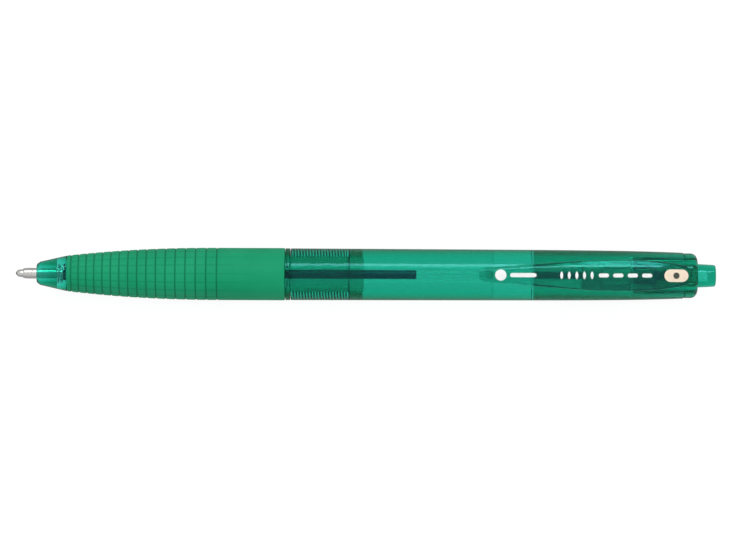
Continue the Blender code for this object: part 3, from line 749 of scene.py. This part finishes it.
# %% Front barrel outline
NOSE_RIM, NOSE_STEP, NOSE, NOSE_BACK, TIP_HOLE = 1.87, 2.13, 2.38, 3.66, 1.22
CORE, CORE_FRONT, CORE_STRAIGHT = GRIP - 1.025, 3.05, 34.0
NECK_ROOT, NECK_CREST, NECK_END, NECK_BORE = 3.78, 0.085, 3.58, 2.68
CHAMBER, CHAMBER_BACK = 2.24, 38.0
SHOULDER_STATION = grip_front - 0.1
front_outline = [
    (nose_face, NOSE_RIM, 0.05), (nose_face + 0.25, NOSE_STEP, 0.06),
    (4.70, NOSE_STEP, 0.06), (4.95, NOSE, 0.10), (SHOULDER_STATION, NOSE_BACK, 0.12),
    (SHOULDER_STATION, CORE_FRONT, 0.05), (CORE_STRAIGHT, CORE, 0.5),
    (grip_back + 0.1, CORE, 0.05), (grip_back + 0.1, FLANGE, 0.12),
    (flange_back, FLANGE, 0.12), (flange_back, NECK_ROOT, 0.08)]
front_outline += run(flange_back + 0.1, thread_back, 0.06, lambda station: NECK_ROOT)
front_outline += [
    (thread_back + 0.15, NECK_END, 0.05), (neck_back, NECK_END, 0.25),
    (neck_back, NECK_BORE, 0.10), (CHAMBER_BACK, NECK_BORE, 0.10),
    (CHAMBER_BACK, CHAMBER, 0.10), (SPRING_FRONT, CHAMBER, 0.10),
    (SPRING_FRONT, TIP_HOLE, 0.05), (nose_face, TIP_HOLE, 0.08)]
front = threaded("front_shell", turned("front_shell", front_outline), flange_back + 0.1,
                 thread_back + 0.1, NECK_ROOT, NECK_CREST)
piece("front_shell", front, GREEN, "front", "green_plastic", "front_barrel")

# %% [markdown]
# ## Grip
# The rubber is moulded with rings that lie closer together near the nose, and with
# grooves along the pen between them, so the fingers feel a grid of low pads. The tree
# works out how far each skin point lies from its nearest ring and its nearest long
# groove, sinks it, and stores the depth as an attribute for the rubber's painted groove
# shade. Ring n lies at first + n * pitch + growth * n * (n - 1) / 2, and solving that for
# n gives the nearest ring of any station.

# %% Grip tree
def grip_tree():
    """Sinks rings and long grooves into the skin and stores how deep they are."""
    tree, bench, given = new_tree("grooved rubber", [
        "First Ring", "Pitch", "Growth", "Rings", "Ring Width", "Ring Depth",
        "Long Grooves", "Long Width", "Long Depth", "Skin Radius"])
    station, radius, angle, outward = polar(bench)
    growth = given["Growth"]
    lead = given["Pitch"] - growth * 0.5
    along = station - given["First Ring"]
    ring = (bench.call("SQRT", bench.call("ABSOLUTE", lead * lead + growth * along * 2.0))
            - lead) / growth
    nearest = bench.call("ROUND", ring)
    local_pitch = given["Pitch"] + growth * nearest
    off_ring = bench.call("ABSOLUTE", ring - nearest) * local_pitch
    is_ring = (nearest > -0.5) * (nearest < given["Rings"] - 0.5)
    ring_cut = (1.0 - bench.step(off_ring, 0.0, given["Ring Width"] * 0.5)) * is_ring
    turn = angle * given["Long Grooves"] / math.tau
    off_long = bench.call("ABSOLUTE", turn - bench.call("ROUND", turn)) * radius * math.tau
    off_long = off_long / given["Long Grooves"]
    fade_in = bench.step(ring, -0.2, 0.2)
    fade_out = 1.0 - bench.step(ring, given["Rings"] - 1.0, given["Rings"] + 0.4)
    long_cut = 1.0 - bench.step(off_long, 0.0, given["Long Width"] * 0.5)
    long_cut = long_cut * fade_in * fade_out
    deep = bench.pair("MAXIMUM", ring_cut * given["Ring Depth"],
                      long_cut * given["Long Depth"])
    on_skin = radius > given["Skin Radius"]
    kept = bench.add("GeometryNodeStoreNamedAttribute", {"data_type": "FLOAT"}, {
        "Geometry": given["Geometry"], "Name": GROOVE, "Selection": on_skin,
        "Value": deep / given["Ring Depth"]})
    close_tree(bench, move(bench, kept, outward, deep * -1.0, on_skin), given["Finish"])
    return tree


# %% Grip outline and grooves
SWELL, SWELL_LENGTH = 2.15, 31.5
RINGS, FIRST_RING, RING_PITCH, RING_GROWTH = 17, SHOULDER_STATION + 1.0, 1.55, 0.043


def grip_radius(station):
    """The grip swells from the nose and is straight after that."""
    share = min((station - SHOULDER_STATION) / SWELL_LENGTH, 1.0)
    return GRIP - (GRIP - NOSE_BACK) * (1 - share) ** SWELL


swell_end = SHOULDER_STATION + SWELL_LENGTH
grip_outline = [(grip_front, grip_radius(grip_front) - 0.02, 0.12)]
grip_outline += run(grip_front + 0.2, swell_end + 1.0, 0.12, grip_radius)
grip_outline += [(grip_back, GRIP, 0.18), (grip_back, CORE + FIT, 0.05),
                 (CORE_STRAIGHT, CORE + FIT, 0), (grip_front, CORE_FRONT + FIT, 0.05)]
grip = grow("grip", grip_tree(), turned("grip", grip_outline, around=216), {
    "First Ring": FIRST_RING * MM, "Pitch": RING_PITCH * MM, "Growth": RING_GROWTH * MM,
    "Rings": float(RINGS), "Ring Width": 0.42 * MM, "Ring Depth": 0.17 * MM,
    "Long Grooves": 18.0, "Long Width": 0.40 * MM, "Long Depth": 0.07 * MM,
    "Skin Radius": 3.45 * MM}, RUBBER)
piece("grip", grip, RUBBER, "front", "green_rubber", "grip_sleeve")

# %% [markdown]
# ## Rear barrel
# The barrel is a long tube that narrows a little towards the tail. At the front its bore
# is threaded for the neck. Behind a shoulder it opens a little, and further back it opens
# again to seat the sleeve of the tail cap. Light bends at every step, so the steps are
# all made, though they lie inside.

# %% Rear barrel
BARREL_FRONT_R, BARREL_END_R, TAPER = 5.32, 4.70, 0.17
BORE, STEP_BORE, THREAD_BORE, BORE_CREST = 3.575, 3.66, 3.81, 0.04
SLEEVE = 3.90
COUNTERBORE, SLEEVE_SEAT = barrel_back - 39.3, barrel_back - 31.3
FALL_POWER = 8                    # the higher, the later the tail's rounder fall begins


def barrel_radius(station):
    """An even taper, with a rounder fall close to the tail."""
    share = (station - barrel_front) / (barrel_back - barrel_front)
    fall = BARREL_FRONT_R - BARREL_END_R - TAPER
    return BARREL_FRONT_R - TAPER * share - fall * max(share, 0) ** FALL_POWER


barrel_outline = [(barrel_front, barrel_radius(barrel_front), 0.15)]
barrel_outline += run(barrel_front + 4, barrel_back - 1.5, 2.0, barrel_radius)
barrel_outline += [
    (barrel_back, barrel_radius(barrel_back), 0.18), (barrel_back, SLEEVE + FIT, 0.10),
    (SLEEVE_SEAT, SLEEVE + FIT, 0.10), (SLEEVE_SEAT, STEP_BORE, 0.10),
    (COUNTERBORE, STEP_BORE, 0.05), (COUNTERBORE, BORE, 0.12),
    (thread_back + 0.4, BORE, 0.10), (thread_back + 0.2, THREAD_BORE, 0.05)]
barrel_outline += run(thread_back, barrel_front + 0.3, 0.1, lambda station: THREAD_BORE)
barrel_outline += [(barrel_front, THREAD_BORE + 0.1, 0.08)]
barrel = threaded("rear_shell", turned("rear_shell", barrel_outline), barrel_front + 0.2,
                  thread_back + 0.2, THREAD_BORE, BORE_CREST)
piece("rear_shell", barrel, GREEN, "barrel", "green_plastic", "rear_barrel")

# %% [markdown]
# ## Teeth, ribs and fins
# The click works by a ring of teeth on the button that pushes a ring of teeth on the cam
# round by a notch, while ribs in the tail cap hold it. Two small trees serve all of it.
# One tree lifts the end face of a turned piece into a ring of teeth. The other stands
# blocks round the axis, to be joined on as ribs or fins or cut out as grooves.

# %% Tooth tree and block tree
def tooth_tree():
    """Lifts the end face of a turned piece into a ring of slanted teeth."""
    tree, bench, given = new_tree("ring of teeth", [
        "From", "To", "Radius", "Count", "Height", "Turn"])
    station, radius, angle, _ = polar(bench)
    on_face = (station > given["From"]) * (station < given["To"])
    chosen = on_face * (radius > given["Radius"])
    ramp = bench.call("FRACT", (angle + given["Turn"]) * given["Count"] / math.tau)
    forward = bench.add("ShaderNodeCombineXYZ", None, {0: 1.0})
    shift = (ramp - 0.5) * given["Height"]
    moved = move(bench, given["Geometry"], forward, shift, chosen)
    close_tree(bench, moved, given["Finish"])
    return tree


def block_tree():
    """Stands blocks round the axis, evenly turned."""
    tree, bench, given = new_tree("blocks round the axis", [
        "Count", "Front", "Length", "Width", "Inner", "Outer", "Turn"])
    depth = given["Outer"] - given["Inner"]
    size = bench.add("ShaderNodeCombineXYZ", None,
                     {0: given["Length"], 1: given["Width"], 2: depth})
    block = bench.add("GeometryNodeMeshCube", None, {"Size": size})
    lift = bench.add("ShaderNodeCombineXYZ", None, {
        0: given["Front"] + given["Length"] * 0.5, 2: given["Inner"] + depth * 0.5})
    block = bench.add("GeometryNodeTransform", None,
                      {"Geometry": block, "Translation": lift})
    points = bench.add("GeometryNodePoints", None, {
        "Count": given["Count"], "Position": (TIP_X, AXIS.y, AXIS.z)})
    index = bench.add("GeometryNodeInputIndex")
    turn = bench.add("ShaderNodeCombineXYZ", None,
                     {0: index / given["Count"] * math.tau + given["Turn"]})
    ring = bench.add("GeometryNodeInstanceOnPoints", None,
                     {"Points": points, "Instance": block, "Rotation": turn})
    close_tree(bench, ring, given["Finish"])
    return tree


TEETH, BLOCKS = tooth_tree(), block_tree()
TEETH_AROUND, TOOTH, FACE_BAND = 8, 0.5, 0.02


def toothed(name, mesh, face, inner, turn, finish):
    """Cuts the ring of teeth into the end face at a station."""
    return grow(name, TEETH, mesh, {
        "From": (face - FACE_BAND) * MM, "To": (face + FACE_BAND) * MM,
        "Radius": inner * MM, "Count": float(TEETH_AROUND), "Height": TOOTH * MM,
        "Turn": turn}, finish)


def blocks(name, count, front, back, width, inner, outer, turn=0.0):
    """A mesh of blocks standing round the axis, for a Boolean."""
    return grow(name, BLOCKS, bpy.data.meshes.new(name + "_seed"), {
        "Count": float(count), "Front": front * MM, "Length": (back - front) * MM,
        "Width": width * MM, "Inner": inner * MM, "Outer": outer * MM, "Turn": turn},
        GREEN)


print("teeth: %d of %.1f mm" % (TEETH_AROUND, TOOTH))


# %% [markdown]
# ## Tail cap
# The collar that closes the barrel has a long sleeve inside the barrel. The sleeve guides
# the cam and the button, and four ribs in it stop the cam. It is turned as one shape,
# with the grooves between the ribs and the slot for the clip's heel cut out.

# %% Tail cap
cap_front, cap_back, _ = span("tail_cap")
clip_front, clip_back, _ = span("clip")
COLLAR, COLLAR_ROUND, END_WALL = 4.60, 1.4, 1.1
SLEEVE_BORE, STOP_BORE, BUTTON_HOLE = 2.95, 2.50, 2.52
collar_front = barrel_back + 0.1
SLEEVE_FIT = SLEEVE + FIT + 0.005  # pressed against the bore, so light crosses unbroken
wall_front = cap_back - END_WALL
STOP_FRONT = wall_front - 12.2
HEEL_STATION, HEEL, HEEL_HALF = clip_back - 0.8, 0.75, 1.45
HEEL_HEIGHT = COLLAR - 0.35
cap_outline = [
    (cap_front, SLEEVE_FIT, 0.10), (collar_front, SLEEVE_FIT, 0.05),
    (collar_front, COLLAR, 0.18), (cap_back - COLLAR_ROUND, COLLAR, 0)]
cap_outline += [(cap_back - COLLAR_ROUND * (1 - math.sin(turn)),
                 COLLAR - COLLAR_ROUND * (1 - math.cos(turn)), 0)
                for turn in [math.radians(angle) for angle in range(9, 91, 9)]]
cap_outline += [
    (cap_back, BUTTON_HOLE, 0.12), (wall_front, BUTTON_HOLE, 0.05),
    (wall_front, STOP_BORE, 0), (STOP_FRONT, STOP_BORE, 0.05),
    (STOP_FRONT, SLEEVE_BORE, 0.05), (cap_front, SLEEVE_BORE, 0.08)]
cap = turned("tail_shell", cap_outline)
cap = combined(cap, blocks("stop_grooves", 4, STOP_FRONT - 0.5, wall_front, 1.6, 1.9,
                           2.93), "DIFFERENCE")
slot_floor, slot_half = HEEL_HEIGHT - HEEL - 0.1, HEEL_HALF + 0.2
cap = combined(cap, blocks("clip_slot", 1, collar_front - 0.3, HEEL_STATION + HEEL + 0.2,
                           2 * slot_half, slot_floor, 6.0), "DIFFERENCE")
piece("tail_shell", cap, GREEN, "barrel", "green_plastic", "tail_cap")

# %% [markdown]
# ## Cam and button
# The cam carries the end of the ink tube. Its collar slides in the sleeve, its ribs meet
# the stop ribs, and its pin runs up inside the button. The button is hollow, and the four
# fins on it run in the grooves of the sleeve, so that it slides but never turns.

# %% Cam
cam_front, _, _ = span("rotary_cam")
CAM_BACK = STOP_FRONT - 0.5
CAM_COLLAR, CAM_CORE, CAM_RIB, PIN, PIN_LENGTH = 2.78, 1.95, 2.33, 1.15, 4.6
socket_end = tube_back + 0.1
cam_outline = [
    (socket_end, 0, 0), (socket_end, TUBE_R + FIT, 0.05), (cam_front, TUBE_R + FIT, 0.08),
    (cam_front, CAM_COLLAR, 0.15), (cam_front + 3.7, CAM_COLLAR, 0.1),
    (cam_front + 4.0, CAM_CORE, 0.1), (CAM_BACK, CAM_CORE, 0), (CAM_BACK, PIN, 0.05),
    (CAM_BACK + PIN_LENGTH, PIN, 0.25), (CAM_BACK + PIN_LENGTH, 0, 0)]
cam = turned("cam", cam_outline, closed=False)
cam = combined(cam, blocks("cam_ribs", 4, CAM_BACK - 5.5, CAM_BACK - 0.3, 0.9, 1.6, CAM_RIB,
                           math.pi / 4), "UNION")
cam = toothed("cam", cam, CAM_BACK, 1.4, 0.0, ACETAL)
piece("cam", cam, ACETAL, "cam", "white_plastic", "rotary_cam")

# %% Button
_, button_back, _ = span("push_button")
BUTTON, BUTTON_BORE, CROWN_R, CROWN_LENGTH, CAP_WALL = 2.40, 1.40, 2.20, 2.0, 1.6
THUMB_BORE, THUMB_EDGE, THUMB_FACE, FIN_LENGTH = 0.85, 2.27, 2.20, 4.6
crown = CAM_BACK + TOOTH / 2 + 0.45
shank = crown + CROWN_LENGTH
bore_end = button_back - CAP_WALL
pin_end = CAM_BACK + PIN_LENGTH + 0.5
button_outline = [
    (bore_end, 0, 0), (bore_end, THUMB_BORE, 0.25), (pin_end, THUMB_BORE, 0.2),
    (pin_end, BUTTON_BORE, 0.2), (crown, BUTTON_BORE, 0.05),
    (crown, CROWN_R, 0), (shank, CROWN_R, 0.08), (shank, BUTTON, 0.10),
    (cap_back + 0.1, BUTTON, 0.5), (button_back - 0.9, THUMB_EDGE, 0.3),
    (button_back, THUMB_FACE, 0.75), (button_back, 0, 0)]
button = turned("button", button_outline, closed=False)
fin_back = wall_front - 5.8
fins = blocks("fins", 4, fin_back - FIN_LENGTH, fin_back, 1.2, 1.9, 2.83)
button = combined(button, fins, "UNION")
button = toothed("button", button, crown, 1.5, 0.3, GREEN)
piece("button", button, GREEN, "button", "green_plastic", "push_button")

# %% [markdown]
# ## Clip
# The clip is a long leaf, narrow at its ball end, widest over the sleeve and arched across
# its width. It is lofted: each station gets one ring of points, a rounded bar that
# follows the arch, and the rings close to a point at both ends. A peg under the front end
# holds paper against the barrel, and a heel at the back sits in the collar's slot.

# %% Clip shape
CLIP_WIDEST, CLIP_FRONT_HALF, CLIP_WIDE_HALF, CLIP_BACK_HALF = 0.67, 1.48, 3.20, 1.65
CLIP_HIGH, CLIP_RISE, CLIP_FRONT_RISE, CLIP_BACK_RISE = clip_back - 17.0, 2.62, 1.53, 0.80
CLIP_SAG, CLIP_THICK = 0.90, 1.10
LEAF_SWELL, LEAF_FALL, CREST_FALL = 1.4, 2.5, 2.6     # powers of the leaf's curves


def clip_half_width(station):
    """A long leaf, widest near the back, with round ends."""
    share = (station - clip_front) / (clip_back - clip_front)
    if share < CLIP_WIDEST:
        rise = math.sin(math.pi / 2 * share / CLIP_WIDEST) ** LEAF_SWELL
        half = CLIP_FRONT_HALF + (CLIP_WIDE_HALF - CLIP_FRONT_HALF) * rise
    else:
        fall = ((share - CLIP_WIDEST) / (1 - CLIP_WIDEST)) ** LEAF_FALL
        half = CLIP_WIDE_HALF - (CLIP_WIDE_HALF - CLIP_BACK_HALF) * fall
    for end, radius in ((clip_front, CLIP_FRONT_HALF), (clip_back, CLIP_BACK_HALF)):
        inside = abs(station - end)
        if inside < radius:
            half *= math.sqrt(max(1 - (1 - inside / radius) ** 2, 0))
    return half


def clip_crown(station):
    """Height of the clip's top above the pen's axis, along its middle."""
    highest = barrel_radius(CLIP_HIGH) + CLIP_RISE
    if station < CLIP_HIGH:
        share = (CLIP_HIGH - station) / (CLIP_HIGH - clip_front)
        drop = highest - barrel_radius(clip_front) - CLIP_FRONT_RISE
        return highest - drop * share ** 2
    share = (station - CLIP_HIGH) / (clip_back - CLIP_HIGH)
    return highest - (highest - COLLAR - CLIP_BACK_RISE) * share ** CREST_FALL


def clip_top(station, across):
    """Height of the clip's top skin at a distance across it."""
    return clip_crown(station) - CLIP_SAG * (across / CLIP_WIDE_HALF) ** 2


print("clip: %.1f mm long, %.1f mm wide, top %.2f mm above the axis"
      % (clip_back - clip_front, 2 * CLIP_WIDE_HALF, clip_crown(CLIP_HIGH)))

# %% Clip loft
CLIP_RINGS, CLIP_AROUND, SQUARENESS = 150, 56, 3.6
EVEN_SHARE = 0.3                  # the rest of the rings crowd towards the two ends
EDGE_ROUND = 0.3                  # the leaf thins to nothing in this length at its ends


def squared(value):
    """A sine or cosine pushed towards 1, which squares up a round section."""
    return math.copysign(abs(value) ** (2 / SQUARENESS), value)


def clip_point(station, across, height):
    return at(0, 0) + Vector((station, across, height)) * MM


def clip_leaf():
    build = bmesh.new()
    rings = []
    for index in range(1, CLIP_RINGS):
        eased = (1 - math.cos(math.pi * index / CLIP_RINGS)) / 2
        share = EVEN_SHARE * index / CLIP_RINGS + (1 - EVEN_SHARE) * eased
        station = clip_front + (clip_back - clip_front) * share
        half = clip_half_width(station)
        end = min(station - clip_front, clip_back - station)
        thick = CLIP_THICK * math.sqrt(1 - (1 - min(end / EDGE_ROUND, 1)) ** 2)
        ring = []
        for turn in range(CLIP_AROUND):
            angle = math.tau * turn / CLIP_AROUND
            across = half * squared(math.cos(angle))
            lift = thick / 2 * squared(math.sin(angle))
            top = clip_top(station, across) - CLIP_THICK / 2 + lift
            ring.append(build.verts.new(clip_point(station, across, top)))
        rings.append(ring)
    for first, second in zip(rings, rings[1:]):
        for turn in range(CLIP_AROUND):
            after = (turn + 1) % CLIP_AROUND
            build.faces.new((first[turn], first[after], second[after], second[turn]))
    for ring in (rings[0], rings[-1]):
        middle = sum((vert.co for vert in ring), Vector()) / CLIP_AROUND
        pole = build.verts.new(middle)
        for turn in range(CLIP_AROUND):
            build.faces.new((ring[turn], ring[(turn + 1) % CLIP_AROUND], pole))
    return finish_mesh(build, "clip_leaf")


# %% Peg and heel
PEG_PLACE, PEG_GAP, PEG_FOOT, PEG_HEAD, PEG_ROUND = 2.2, 0.1, 0.68, 0.85, 0.12
WEB = 0.9


def clip_peg():
    """A short round peg with a softened foot, just clear of the barrel."""
    station = clip_front + PEG_PLACE
    foot, head = barrel_radius(station) + PEG_GAP, clip_crown(station) - CLIP_THICK / 2
    build = bmesh.new()
    matrix = Matrix.Translation(clip_point(station, 0, (foot + head) / 2))
    bmesh.ops.create_cone(build, cap_ends=True, segments=40, radius1=PEG_FOOT * MM,
                          radius2=PEG_HEAD * MM, depth=(head - foot) * MM, matrix=matrix)
    rim = [edge for edge in build.edges
           if all(vert.co.z < matrix.translation.z for vert in edge.verts)]
    bmesh.ops.bevel(build, geom=rim, offset=PEG_ROUND * MM, segments=3, profile=0.5,
                    affect="EDGES")
    return finish_mesh(build, "clip_peg")


def clip_heel():
    """The bar in the collar's slot with the web that carries the leaf."""
    build = bmesh.new()
    across = Matrix.Rotation(math.radians(90), 4, "X")
    bmesh.ops.create_cone(
        build, cap_ends=True, segments=40, radius1=HEEL * MM, radius2=HEEL * MM,
        depth=2 * HEEL_HALF * MM,
        matrix=Matrix.Translation(clip_point(HEEL_STATION, 0, HEEL_HEIGHT)) @ across)
    bar = finish_mesh(build, "clip_heel")
    top = clip_crown(HEEL_STATION) - CLIP_THICK / 2
    web = blocks("web", 1, HEEL_STATION - WEB / 2, HEEL_STATION + WEB / 2,
                 2 * HEEL_HALF - 0.2, HEEL_HEIGHT, top)
    return combined(bar, web, "UNION")


clip = combined(clip_leaf(), clip_peg(), "UNION")
clip = combined(clip, clip_heel(), "UNION")
piece("clip", clip, GREEN, "clip", "green_plastic", "clip")

# %% [markdown]
# ## Print on the clip
# Pad-printed marks stand a few hundredths of a millimetre proud. A mark is made flat
# first, as a thin plate with round ends. Where it repeats, a tree sets copies of it in a
# row. Each point is then laid on the clip's skin by the same formula that made the skin.
# The marks are plain shapes: a disc and a line, two rows of bars, and a pad with a dot.

# %% Flat marks
PRINT = 0.03                      # how far the printed ink stands above the skin
MARK_ROWS, MARK_COLUMNS = 14, 6


def flat_mark(name, length, width, lift=0.0):
    """A thin plate with round ends, centred on the origin, in millimetres."""
    build = bmesh.new()
    rows, columns = MARK_ROWS, MARK_COLUMNS
    levels = []
    for level in (lift - PRINT, lift + PRINT):
        grid = []
        for row in range(rows + 1):
            along = -length / 2 * math.cos(math.pi * row / rows)
            inside = length / 2 - abs(along)
            half = width / 2
            if inside < half:
                half *= math.sqrt(max(1 - (1 - inside / half) ** 2, 0.0004))
            grid.append([build.verts.new((along, (2 * column / columns - 1) * half, level))
                         for column in range(columns + 1)])
        levels.append(grid)
    for grid in levels:
        for row in range(rows):
            for column in range(columns):
                build.faces.new((grid[row][column], grid[row + 1][column],
                                 grid[row + 1][column + 1], grid[row][column + 1]))
    low, high = levels
    path = ([(0, column) for column in range(columns)]
            + [(row, columns) for row in range(rows)]
            + [(rows, column) for column in range(columns, 0, -1)]
            + [(row, 0) for row in range(rows, 0, -1)])
    for first, second in zip(path, path[1:] + path[:1]):
        build.faces.new((low[first[0]][first[1]], low[second[0]][second[1]],
                         high[second[0]][second[1]], high[first[0]][first[1]]))
    return finish_mesh(build, name)


# %% Row tree
def row_tree():
    """Copies of a mark in a row along X."""
    tree, bench, given = new_tree("row of marks", ["Count", "Pitch"])
    offset = bench.add("ShaderNodeCombineXYZ", None, {0: given["Pitch"]})
    row = bench.add("GeometryNodeMeshLine", None,
                    {"Count": given["Count"], "Offset": offset})
    made = bench.add("GeometryNodeInstanceOnPoints", None,
                     {"Points": row, "Instance": given["Geometry"]})
    close_tree(bench, made, given["Finish"])
    return tree


ROW = row_tree()


def print_mark(name, mesh, station, finish):
    """Lays a flat mark on the clip's skin, along its middle, and places it."""
    for vert in mesh.vertices:
        x, y, z = vert.co
        vert.co = clip_point(station + x, y, clip_top(station + x, y) + z)
    return piece(name, smooth(mesh), finish, "clip", "white_plastic")


def row_of(name, mark, count, pitch, finish):
    return grow(name, ROW, mark, {"Count": float(count), "Pitch": pitch}, finish)


# %% Marks on this clip
PAD_STATION, DOT_LIFT = 135.5, 0.05
print_mark("print_disc", flat_mark("disc", 2.3, 2.3), 99.6, WHITE)
print_mark("print_line", flat_mark("line", 5.4, 0.85), 104.2, WHITE)
bars = row_of("bars", flat_mark("bar", 0.62, 2.5), 5, 1.55, WHITE)
print_mark("print_bars", bars, 112.0, WHITE)
dashes = row_of("dashes", flat_mark("dash", 2.1, 0.8), 4, 2.95, WHITE)
print_mark("print_dashes", dashes, 120.6, WHITE)
print_mark("print_pad", flat_mark("pad", 5.0, 2.57), PAD_STATION, CREAM)
print_mark("print_dot", flat_mark("dot", 1.3, 1.3, DOT_LIFT), PAD_STATION, DARK)

# %% [markdown]
# ## Table, light and camera
# The pen lies on a plain white lit table, like the top of a light box: part of its
# brightness is its own and part is light that falls on it. The glow fades far from the
# pen, and the table looks dim in reflections, so that the rims of the clear plastic stay
# dark and green. The room is bright above and greyer at its walls. One long soft lamp to
# the side draws the line of light along the barrel.

# %% Table
TABLE_LEVEL, TABLE_HALF = -0.00002, 2.0
GLOW_FROM, GLOW_TO = 0.10, 0.32   # the light box is brightest in its middle
GLOW_MIDDLE, GLOW_EDGE, GLOW_REFLECTED = grey(1.0), grey(0.45), grey(0.20)
GLOW_STRENGTH, TABLE_COLOUR = 0.88, grey(0.16)
floor_mesh = bpy.data.meshes.new("table")
floor_build = bmesh.new()
bmesh.ops.create_grid(floor_build, x_segments=1, y_segments=1, size=TABLE_HALF,
                      matrix=Matrix.Translation((0, 0, TABLE_LEVEL)))
floor_build.to_mesh(floor_mesh)
floor_build.free()
table_finish, bench, output = new_finish("lit_table")
glossy = bench.add("ShaderNodeLightPath", output="Is Glossy Ray")
reflected = bench.add("ShaderNodeLightPath", output="Is Reflection Ray")
from_middle = bench.add("ShaderNodeVectorMath", {"operation": "LENGTH"},
                        {0: place_on(bench)}, output="Value")
fading = bench.step(from_middle, GLOW_FROM, GLOW_TO)
glow = bench.blend(fading, GLOW_MIDDLE, GLOW_EDGE)
glow = bench.blend(glossy * reflected, glow, GLOW_REFLECTED)
bench.feed(output.inputs["Surface"], bench.add("ShaderNodeBsdfPrincipled", None, {
    "Base Color": TABLE_COLOUR, "Roughness": 1.0, "Specular IOR Level": 0.0,
    "Emission Color": glow, "Emission Strength": GLOW_STRENGTH}))
floor_mesh.materials.append(table_finish)
table = bpy.data.objects.new("table", floor_mesh)
bpy.context.scene.collection.objects.link(table)
table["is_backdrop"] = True
print("table: %.1f m across" % (2 * TABLE_HALF))

# %% Light
WALL_LIGHT, CEILING_LIGHT, CEILING_FROM = grey(0.28), grey(0.62), 0.85
world = bpy.data.worlds.new("white_room")
bpy.context.scene.world = world
world.use_nodes = True
room = Bench(world.node_tree)
direction = room.add("ShaderNodeTexCoord", output="Generated")
height = room.add("ShaderNodeSeparateXYZ", None, {0: direction}, output="Z")
brightness = room.blend(room.step(height, 0.0, CEILING_FROM), WALL_LIGHT, CEILING_LIGHT)
room.feed(world.node_tree.nodes["Background"].inputs["Color"], brightness)

LAMP_DISTANCE, LAMP_TURN, LAMP_LENGTH, LAMP_WIDTH = 0.60, math.radians(44), 0.60, 0.12
LAMP_RADIANCE = 5.5
lamp_data = bpy.data.lights.new("strip_softbox", "AREA")
lamp_data.shape, lamp_data.size, lamp_data.size_y = "RECTANGLE", LAMP_LENGTH, LAMP_WIDTH
lamp_data.energy = LAMP_RADIANCE * math.pi * LAMP_LENGTH * LAMP_WIDTH
lamp = bpy.data.objects.new("strip_softbox", lamp_data)
lamp.location = (0, LAMP_DISTANCE * math.sin(LAMP_TURN),
                 AXIS.z + LAMP_DISTANCE * math.cos(LAMP_TURN))
lamp.rotation_euler = (-LAMP_TURN, 0, 0)
bpy.context.scene.collection.objects.link(lamp)
print("lamp power: %.2f W" % lamp_data.energy)

# %% [markdown]
# ## Fill light
# A big soft light overhead makes the rubber and the print bright. It is left out of
# reflections and of light that crosses the plastic, because seen there it would lay a
# white veil on the whole barrel. Only the strip lamp and the room show as gloss.

# %% Fill light from above
FILL_HEIGHT, FILL_SIZE, FILL_RADIANCE = 0.80, 0.80, 1.5
fill_data = bpy.data.lights.new("fill", "AREA")
fill_data.size = FILL_SIZE
fill_data.energy = FILL_RADIANCE * math.pi * FILL_SIZE ** 2
fill = bpy.data.objects.new("fill", fill_data)
fill.location = (0, 0, FILL_HEIGHT)
fill.visible_glossy = fill.visible_transmission = False
bpy.context.scene.collection.objects.link(fill)
print("fill light power: %.2f W" % fill_data.energy)

# %% Camera
VIEW_WIDTH, LENS, SENSOR, ROLL = 0.1507, 200.0, 36.0, math.radians(0.22)
VIEW_SHIFT = 0.00008              # the pen lies a hair left of the middle of the view
camera_data = bpy.data.cameras.new("camera")
camera_data.lens, camera_data.sensor_width = LENS, SENSOR
camera_data.clip_start, camera_data.clip_end = 0.01, 10.0
camera = bpy.data.objects.new("camera", camera_data)
camera.location = ((cad_box[0].x + cad_box[1].x) / 2 + VIEW_SHIFT, AXIS.y,
                   AXIS.z + VIEW_WIDTH * LENS / SENSOR)
camera.rotation_euler = (0, 0, ROLL)
bpy.context.scene.collection.objects.link(camera)
bpy.context.scene.camera = camera
bpy.context.scene.view_settings.view_transform = "Standard"
print("camera: %.2f m above the axis, %.0f mm lens" % (camera.location.z - AXIS.z, LENS))

# %% [markdown]
# ## The two boxes
# The finished pen must fill the same box as its CAD model, so both are printed.

# %% Sizes and finish
bpy.context.view_layer.update()
visual_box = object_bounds()
boxes = {"cad": [list(corner) for corner in cad_box],
         "visual": [list(corner) for corner in visual_box]}
for name, (low, high) in boxes.items():
    print(name, "box in mm:", [round((b - a) / MM, 2) for a, b in zip(low, high)])
